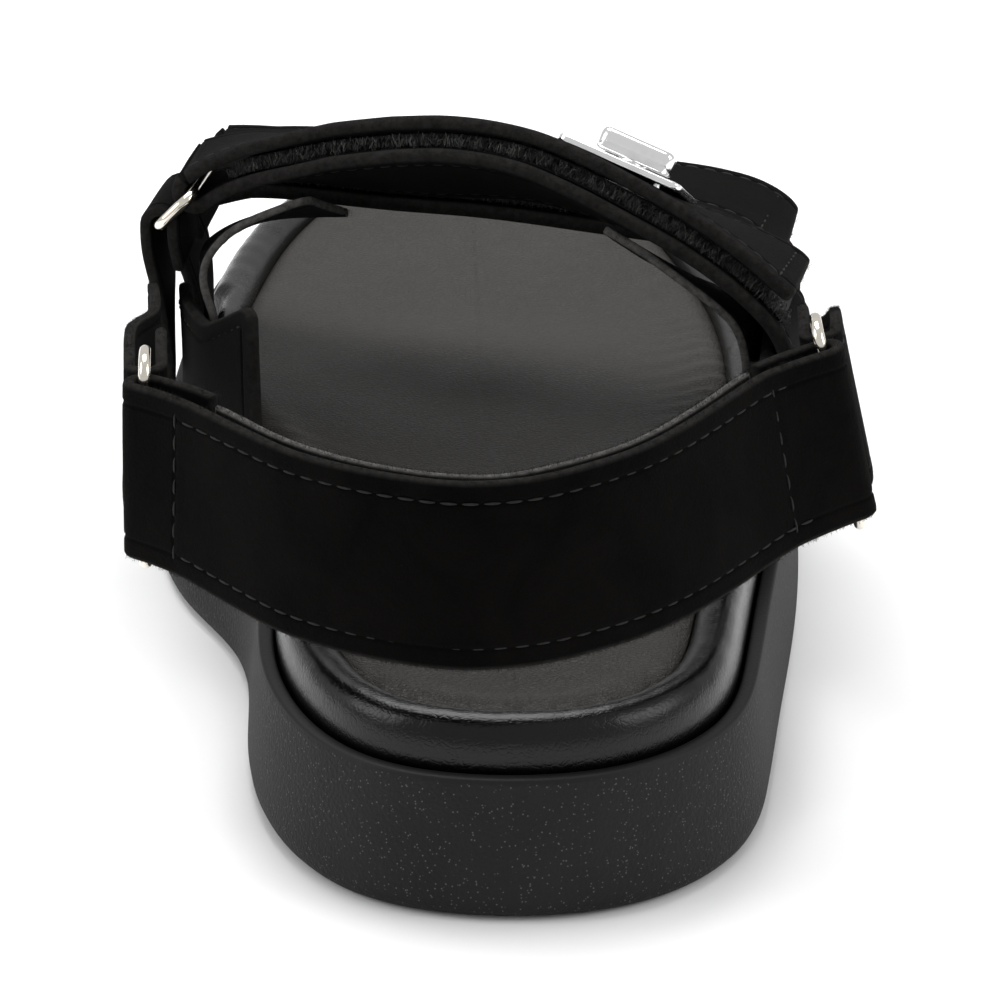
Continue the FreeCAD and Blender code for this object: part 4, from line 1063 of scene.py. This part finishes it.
s = steps_along(15, heel_line.length - 15, 0.85, LINING_THICK / 2)
lining_middle = TAB_IN - 0.08 - LINING_THICK / 2 + 0.02
lining = strap_sheet("heel_strap_lining_suede", heel_line, s, 1, lining_middle, 1.2,
                     width=WIDTH + 1.0, seams=(3.0,), start_fold=False)
finish_piece(lining[0], LINING, "heel_strap_lining", "heel_strap")
fuzz("heel_strap", lining, 3200)
print("heel strap faces:", len(heel[0].data.polygons))


# %% Heel tabs
TAB_SEAM_IN = 2.6
for node, line, side, end_width in (("medial_heel_tab", medial_tab_line, -1, WIDTH * 0.62),
                                    ("lateral_heel_tab", lateral_tab_line, 1, WIDTH * 0.8)):
    leg, across_seam = 10, 6.0
    s = steps_along(-HEEL_TURN - leg, line.length, 0.8, SUEDE_THICK / 2, extra=(across_seam,))
    position = HEEL_TURN + leg + across_seam
    made = strap_sheet(node + "_suede", line, s, side, HEEL_MID, SUEDE_THICK, end_width=end_width,
                       seams=(TAB_SEAM_IN,), cross_seams=(position,))
    finish_piece(made[0], SUEDE, node, "sandal")
    sew("sandal", made, TAB_SEAM_IN, SUEDE_THICK, both=False, span=(0.3, 0.99))
    sew_across("sandal", made, position, SUEDE_THICK)
    fuzz("sandal", made, 1500)

# %% Wings
WING_SEAM_IN = 2.4
for node, line, side in (("lateral_wing", lateral_wing_line, 1), ("medial_wing", medial_wing_line, -1)):
    s = steps_along(0, line.length, 0.8, LINING_THICK / 2)
    made = strap_sheet(node + "_suede", line, s, side, LINING_THICK / 2, LINING_THICK,
                       end_width=(WIDTH - 2) * 0.86, seams=(WING_SEAM_IN,), start_fold=False, corner=2.5)
    finish_piece(made[0], LINING, node, "sandal")
    sew("sandal", made, WING_SEAM_IN, LINING_THICK, span=(0.1, 0.95))
    fuzz("sandal", made, 1300)
print("wings and tabs done")

# %% [markdown]
# ### Rings
# A ring is a round wire bent to a rounded rectangle: a circle carried round a closed path. It
# hangs with one long bar in a fold and the other in a tab.

# %% Wire rings
WIRE, PITCH = 1.75 / 2, 7.6
HALF_LONG = WIDTH / 2 + 1.4 + WIRE
CORNER = 2.8


def wire_ring(name, line, u, away):
    """A circle round a rounded rectangle; returns the piece, its outer bar and the bar's direction."""
    centre, _, across, _ = (a[0] for a in line.frame(np.array([u])))
    away = np.array(away, float)
    across = unit(across)
    away = unit(away - across * away.dot(across))
    flat = np.cross(across, away)
    middle = centre + away * PITCH / 2
    corner = np.linspace(0, np.pi / 2, 15)[:-1]
    long, short = HALF_LONG - CORNER, PITCH / 2 - CORNER
    arcs = []
    for k, (cx, cy) in enumerate(((long, short), (-long, short), (-long, -short), (long, -short))):
        angle = corner + k * np.pi / 2
        x, y = np.cos(angle), np.sin(angle)
        arcs.append(np.stack([cx + CORNER * x, cy + CORNER * y, x, y], 1))
        if k in (0, 2):
            span = np.linspace(0, 1, 22)[:-1, None]
            end = np.array([[cx, cy + (CORNER if k == 0 else -CORNER), 0, 1 if k == 0 else -1]])
            step = np.array([[-2 * long if k == 0 else 2 * long, 0, 0, 0]])
            arcs.append(end + step * span)
    path = np.concatenate(arcs)
    angle = np.linspace(0, 2 * np.pi, 20, endpoint=False)
    point = path[:, None, :2] + WIRE * np.cos(angle)[None, :, None] * path[:, None, 2:]
    lift = WIRE * np.sin(angle)[None, :] + 0 * point[..., 0]
    grid = middle + across * point[..., :1] + away * point[..., 1:2] + flat * lift[..., None]
    return ring_piece(name, grid), centre + away * PITCH, across


ring_work = (("instep_ring", instep_line, 0.0, (-0.72, 0, -0.69), "instep_ring"),
             ("toe_ring", toe_line, 0.0, (-0.74, 0.1, -0.66), "toe_ring"),
             ("medial_heel_ring", heel_line, 0.0, (-0.04, 1, 0), "heel_strap"),
             ("lateral_heel_ring", heel_line, heel_line.length, (0.0, 1, 0), "heel_strap"))
bars = {}
for node, line, u, away, body in ring_work:
    wire, bar, bar_across = wire_ring(node + "_wire", line, u, away)
    finish_piece(wire, RING_METAL, node, body)
    bars[node] = (bar, bar_across)
print("rings done")


# %% Tabs of the front rings
def ring_tab(node, bar, bar_across, drops, back_leg, count):
    """A loop of suede round the outer bar: outer leg down to the sandal, short return inside."""
    points = np.array([bar] + [bar + np.array(d) for d in drops])
    share = np.linalg.norm(points - bar, axis=1)[:, None] / np.linalg.norm(points[-1] - bar)
    widths = bar_across * (1 - share) + np.array([-0.08, 1.0, 0.0]) * share
    line = Strap(np.array([]), WIDTH, edge=False, made=(points, unit(widths)))
    s = steps_along(-HEEL_TURN - back_leg, line.length, 0.7, SUEDE_THICK / 2)
    made = strap_sheet(node + "_suede", line, s, -1, HEEL_MID, SUEDE_THICK, seams=(TAB_SEAM_IN,))
    finish_piece(made[0], SUEDE, node, "sandal")
    fuzz("sandal", made, count)


ring_tab("medial_instep_tab", *bars["instep_ring"],
         [(-0.2, 0.8, -4.0), (0.6, 1.5, -10.0), (1.3, 2.0, -25.0)], 8, 1500)
ring_tab("medial_toe_tab", *bars["toe_ring"],
         [(1.2, 0.6, -4.0), (3.4, 0.8, -12.0), (4.5, 0.8, -22.0), (4.6, 0.8, -34.0)], 5, 1200)
print("ring tabs done")

# %% [markdown]
# ### The turn-lock clasp
# A thin polished plate with a bevelled border lies flush with the rear edge of the flap. The
# button is a pillow-shaped bar on a short round neck. Both are stacks of one outline, a rounded
# rectangle, moved in at each height, and the neck is a small turned shape.

# %% Clasp pieces
def rounded_outline(a, b, corner):
    """Points of a rounded rectangle with half sides a and b."""
    angle = np.linspace(0, np.pi / 2, 16)
    parts = []
    for k, (sx, sy) in enumerate(((1, 1), (-1, 1), (-1, -1), (1, -1))):
        turned = angle + k * np.pi / 2
        x, y = corner * np.cos(turned), corner * np.sin(turned)
        parts.append(np.stack([sx * (a - corner) + x, sy * (b - corner) + y], 1))
    return np.concatenate(parts)


def stack(name, a, b, corner, levels, origin, axes):
    """Outlines at (inset, height) levels joined, and closed at both ends by shrinking to a point."""
    rows = []
    for inset, height in levels:
        ring = rounded_outline(a - inset, b - inset, max(corner - inset, 0.05))
        rows.append(np.concatenate([ring, np.full((len(ring), 1), height)], 1))
    grid = np.array(rows)
    shrink = np.array([0.75, 0.4, 0.0])[:, None, None] * (1, 1, 0) + (0, 0, 1)
    grid = np.concatenate([(grid[0] * shrink)[::-1], grid, grid[-1] * shrink])
    world = origin + grid[..., :1] * axes[0] + grid[..., 1:2] * axes[1] + grid[..., 2:] * axes[2]
    rows, columns = world.shape[:2]
    piece = make_object(name, world.reshape(-1, 3), quads(rows, columns, False, True),
                        grid[..., :2].reshape(-1, 2))
    merge_points(piece, 2e-6)
    return piece


centre, _, _, normal = (a[0] for a in instep_line.frame(np.array([CLASP_AT])))
along = unit(spline(instep_line.knots, instep_line.centres, np.array([CLASP_AT]))[1][0])
axes = (along, np.cross(normal, along), normal)
plate_foot = centre + normal * (FOLD_IN + BAND + 0.08)
PLATE_LEVELS = [(0.35, 0.0), (0.12, 0.02), (0.0, 0.16), (0.0, 0.8), (0.06, 0.98), (0.2, 1.1),
                (0.42, 1.16), (0.8, 1.2), (1.25, 1.2), (1.45, 1.12), (1.6, 1.04), (1.9, 1.02),
                (3.0, 1.02)]
plate = stack("clasp_plate_metal", 10.0, 12.0, 1.5, PLATE_LEVELS, plate_foot, axes)
finish_piece(plate, CLASP_METAL, "clasp_plate", "instep_flap")
button_foot = plate_foot + normal * 2.0
BAR_LEVELS = [(0.5, 0.0), (0.2, 0.04), (0.0, 0.25), (0.0, 2.2), (0.05, 2.7), (0.22, 3.05),
              (0.5, 3.3), (0.9, 3.45), (1.5, 3.5)]
button = stack("turn_button_bar", 6.0, 2.5, 1.6, BAR_LEVELS, button_foot, axes)
NECK_LEVELS = [(0.0, -0.95), (0.05, -0.9), (0.35, -0.7), (0.4, -0.3), (0.2, 0.0), (0.0, 0.15)]
neck = stack("turn_button_neck", 2.5, 2.5, 2.45, NECK_LEVELS, button_foot, axes)
for piece in (button, neck):
    finish_piece(piece, CLASP_METAL, "turn_button", "turn_button")
print("clasp done")

# %% [markdown]
# ### Hook and loop tape
# Between the strap and its flap lie two nylon tapes: a woven back each, loops on one and hooks on
# the other. The back is a thin sheet. The pile is thousands of small bent fibres that meet in
# the middle. Only those near the long edges can be seen, so only those are made.

# %% Tapes and their pile
def fibre_shape(height, spread, thin, turns):
    """A thread bent to an arch: a triangle section carried along it."""
    t = np.linspace(0, 1, turns)
    x = spread * np.sin(np.pi * (t - 0.5)) / 2
    z = height * np.sin(np.pi * t) ** 0.8
    angle = np.array([0, 2, 4]) * np.pi / 3
    spine = np.stack([x, 0 * x, z], 1)
    ring = np.stack([np.cos(angle) * thin, np.sin(angle) * thin, 0.5 * np.cos(angle) * thin], 1)
    points = (spine[:, None] + ring).reshape(-1, 3)
    return points, quads(turns, 3, False, True)


def pile(name, line, low, high, level, direction, count, width, body, node):
    """Arches scattered along both long edges of a tape, standing up or hanging down."""
    shape, faces = fibre_shape(1.15, 0.75, 0.045, 7)
    rear = rng.random(count) < 0.72
    depth_in = rng.random(count) ** 1.6 * 5.0 - 0.5
    v = np.where(rear, -width / 2 + depth_in, width / 2 - depth_in)
    u = low + (high - low) * rng.random(count)
    centre, run, across, normal = line.frame(u)
    angle = rng.random(count) * 2 * np.pi
    lean = rng.normal(0, 0.35, (count, 2))
    x = run * np.cos(angle)[:, None] + across * np.sin(angle)[:, None]
    z = unit(normal * direction + run * lean[:, :1] + across * lean[:, 1:])
    y = unit(np.cross(z, x))
    x = np.cross(y, z)
    size = (0.75 + 0.5 * rng.random(count))[:, None]
    start = centre + across * v[:, None] + normal * (level + 0.12 * rng.normal(0, 1, count))[:, None]
    piece = stamp(name, shape, faces, start, x * size, y * size, z * size)
    finish_piece(piece, NYLON, node, body)


TAPE_WIDE, TAPE_THICK = WIDTH - 2 * 2.5, 0.56
TAPE_MID = FOLD_IN - 0.13 - 0.28
for name, line, end in (("instep", instep_line, INSTEP_END), ("toe", toe_line, TOE_END)):
    for half, side, low, high, body in (("loop", -1, 7, end + 2, "sandal"),
                                        ("hook", 1, 9, end - 3, name + "_flap")):
        slot = half + "_tape"
        node = name + "_" + slot
        s = steps_along(low, high, 1.2, 0.3)
        woven = strap_sheet(node + "_back", line, s, side, TAPE_MID, TAPE_THICK, width=TAPE_WIDE,
                            start_fold=False)
        finish_piece(woven[0], TAPE, node, body)
    pile(name + "_loops", line, 6.5, end + 2, -0.85, 1, 2300, TAPE_WIDE + 2.2, "sandal",
         name + "_loop_tape")
    pile(name + "_hooks", line, 8, end - 2.5, 0.85, -1, 1900, TAPE_WIDE + 1.6, name + "_flap",
         name + "_hook_tape")
print("tapes done")

# %% [markdown]
# ### Stitches and nap
# A stitch is a short grain of thread that dives into the leather at both ends. One small shape is
# stamped along every seam. Nap fibres are thin curved spikes stamped along the cut edges.

# %% Sew every seam
def stitch_shape(length, radius):
    """A spindle: a circle whose radius swells as a sine, sunk at both ends."""
    t = np.linspace(0, 1, 7)
    angle = np.linspace(0, 2 * np.pi, 6, endpoint=False)
    swell = radius * (0.35 + 0.65 * np.sin(np.pi * t) ** 0.6)
    sink = -0.7 * radius * (2 * t - 1) ** 4
    points = np.stack([
        np.broadcast_to((length * (t - 0.5))[:, None], (7, 6)),
        swell[:, None] * np.cos(angle),
        sink[:, None] + 0.8 * swell[:, None] * np.sin(angle)], 2).reshape(-1, 3)
    caps = np.array([[0, 5, 4, 3], [0, 3, 2, 1], [36, 37, 38, 39], [36, 39, 40, 41]])
    return points, np.concatenate([quads(7, 6, False, True), caps])


PITCH_OF_SEAM, STITCH_AIM = 2.9, 0.3
shape, shape_faces = stitch_shape(2.25, 0.2)
for body, runs in STITCH_PATHS.items():
    spots, ahead, faces_out = [], [], []
    for points, out in runs:
        gone = travel(points)
        count = max(2, int(gone[-1] / PITCH_OF_SEAM))
        u = (np.arange(count) + 0.5) / count * gone[-1]
        spots.append(look_up(u, gone, points))
        ahead.append(unit(look_up(u + STITCH_AIM, gone, points) - look_up(u - STITCH_AIM, gone, points)))
        faces_out.append(unit(look_up(u, gone, out)))
    spots, ahead, faces_out = (np.concatenate(a) for a in (spots, ahead, faces_out))
    side = unit(np.cross(faces_out, ahead))
    thread = stamp(body + "_stitches", shape, shape_faces, spots, ahead, side, faces_out)
    finish_piece(thread, THREAD, None, body)
    print(body, "stitches:", len(spots))


# %% Nap on the cut edges
def spike_shape():
    """A curved spike of unit length: a triangle that shrinks to a point."""
    levels = [(0.0, 0.05, 0.0), (0.45, 0.038, 0.05), (0.8, 0.022, 0.16), (1.0, 0.004, 0.27)]
    angle = np.array([0, 2, 4]) * np.pi / 3
    points = [[r * np.cos(a) + bend, r * np.sin(a), z] for z, r, bend in levels for a in angle]
    return np.array(points), quads(4, 3, False, True)


shape, shape_faces = spike_shape()
for body, groups in FUZZ_SPOTS.items():
    points, out, side = (np.concatenate([g[k] for g in groups]) for k in range(3))
    count = len(points)
    length = (0.22 + 0.42 * rng.random(count) ** 2.2)[:, None]
    tilt = rng.normal(0, 0.55, (count, 1))
    stray = rng.normal(0, 0.4, (count, 3))
    up = unit(side + out * tilt + stray)
    run = unit(np.cross(out, side) + 1e-6)
    x = unit(np.cross(up, run))
    jitter = run * rng.normal(0, 0.45, (count, 1)) + out * rng.uniform(-0.62, 0.62, (count, 1)) - side * 0.1
    nap = stamp(body + "_nap", shape, shape_faces, points + jitter,
                x * length, np.cross(up, x) * length, up * length)
    finish_piece(nap, FIBRE, None, body)
    print(body, "fibres:", count)

# %% [markdown]
# ### Inner parts
# The filler, the board, the foam and the rivets are out of sight. They stay as they are in the
# CAD part and get plain moulded finishes.

# %% Finishes of the hidden CAD nodes
HIDDEN = {"midsole_filler": FOAM, "insole_board": FOAM, "footbed_foam": FOAM,
          "clasp_posts": CLASP_METAL, "clasp_backing": CLASP_METAL}
for node, material in HIDDEN.items():
    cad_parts[node].data.materials.clear()
    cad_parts[node].data.materials.append(material)

# %% [markdown]
# ## Floor, light and camera
# A plain pale floor, a bright even studio: one big soft light above and behind the toe, a
# softer one each side, and a white surround that the polished parts can mirror.

# %% Studio
floor_mesh = bpy.data.meshes.new("studio_floor")
reach, floor_level = 6.0, -0.0002
corners = [(-reach, -reach), (reach, -reach), (reach, reach), (-reach, reach)]
floor_mesh.from_pydata([(x, y, floor_level) for x, y in corners], [], [(0, 1, 2, 3)])
floor = bpy.data.objects.new("studio_floor", floor_mesh)
bpy.context.scene.collection.objects.link(floor)
paper = Finish("floor_paper", Roughness=0.9, Specular_IOR_Level=0.1)
paper.set("Base Color", paper.mix(paper.noise(3.0, 2.0), (0.9, 0.9, 0.9), (0.93, 0.93, 0.93)))
floor_mesh.materials.append(paper.material)

world = bpy.data.worlds.new("studio")
bpy.context.scene.world = world
world.use_nodes = True
background = next(n for n in world.node_tree.nodes if n.type == "BACKGROUND")
background.inputs["Color"].default_value = (1.0, 1.0, 1.0, 1.0)
background.inputs["Strength"].default_value = 0.62


def soft_light(name, place, aim, size, power):
    """A square soft light that looks at a point."""
    lamp = bpy.data.lights.new(name, "AREA")
    lamp.size, lamp.energy = size, power
    holder = bpy.data.objects.new(name, lamp)
    holder.location = place
    back = unit(np.array(place, float) - np.array(aim, float))
    right = unit(np.cross((0.0, 0.0, 1.0), back) + np.array([1e-9, 0, 0]))
    up = np.cross(back, right)
    holder.rotation_euler = Matrix(np.stack([right, up, back], 1).tolist()).to_euler()
    bpy.context.scene.collection.objects.link(holder)


soft_light("top", (-0.1, 0.4, 1.05), (0.0, 0.05, 0.0), 0.8, 11.0)
soft_light("left", (-1.0, -0.1, 0.6), (0.0, 0.05, 0.03), 0.6, 3.5)
soft_light("right", (1.0, -0.2, 0.6), (0.0, 0.05, 0.03), 0.6, 3.5)

camera_data = bpy.data.cameras.new("camera")
camera_data.lens = 183.6
camera_data.sensor_width = 36.0
camera_data.clip_start = 0.01
camera = bpy.data.objects.new("camera", camera_data)
camera.location = (-0.0016, -0.6586, 0.3131)
camera.rotation_euler = (math.radians(68.0), 0.0, 0.0)
bpy.context.scene.collection.objects.link(camera)
bpy.context.scene.camera = camera
bpy.context.scene.view_settings.view_transform = "Standard"
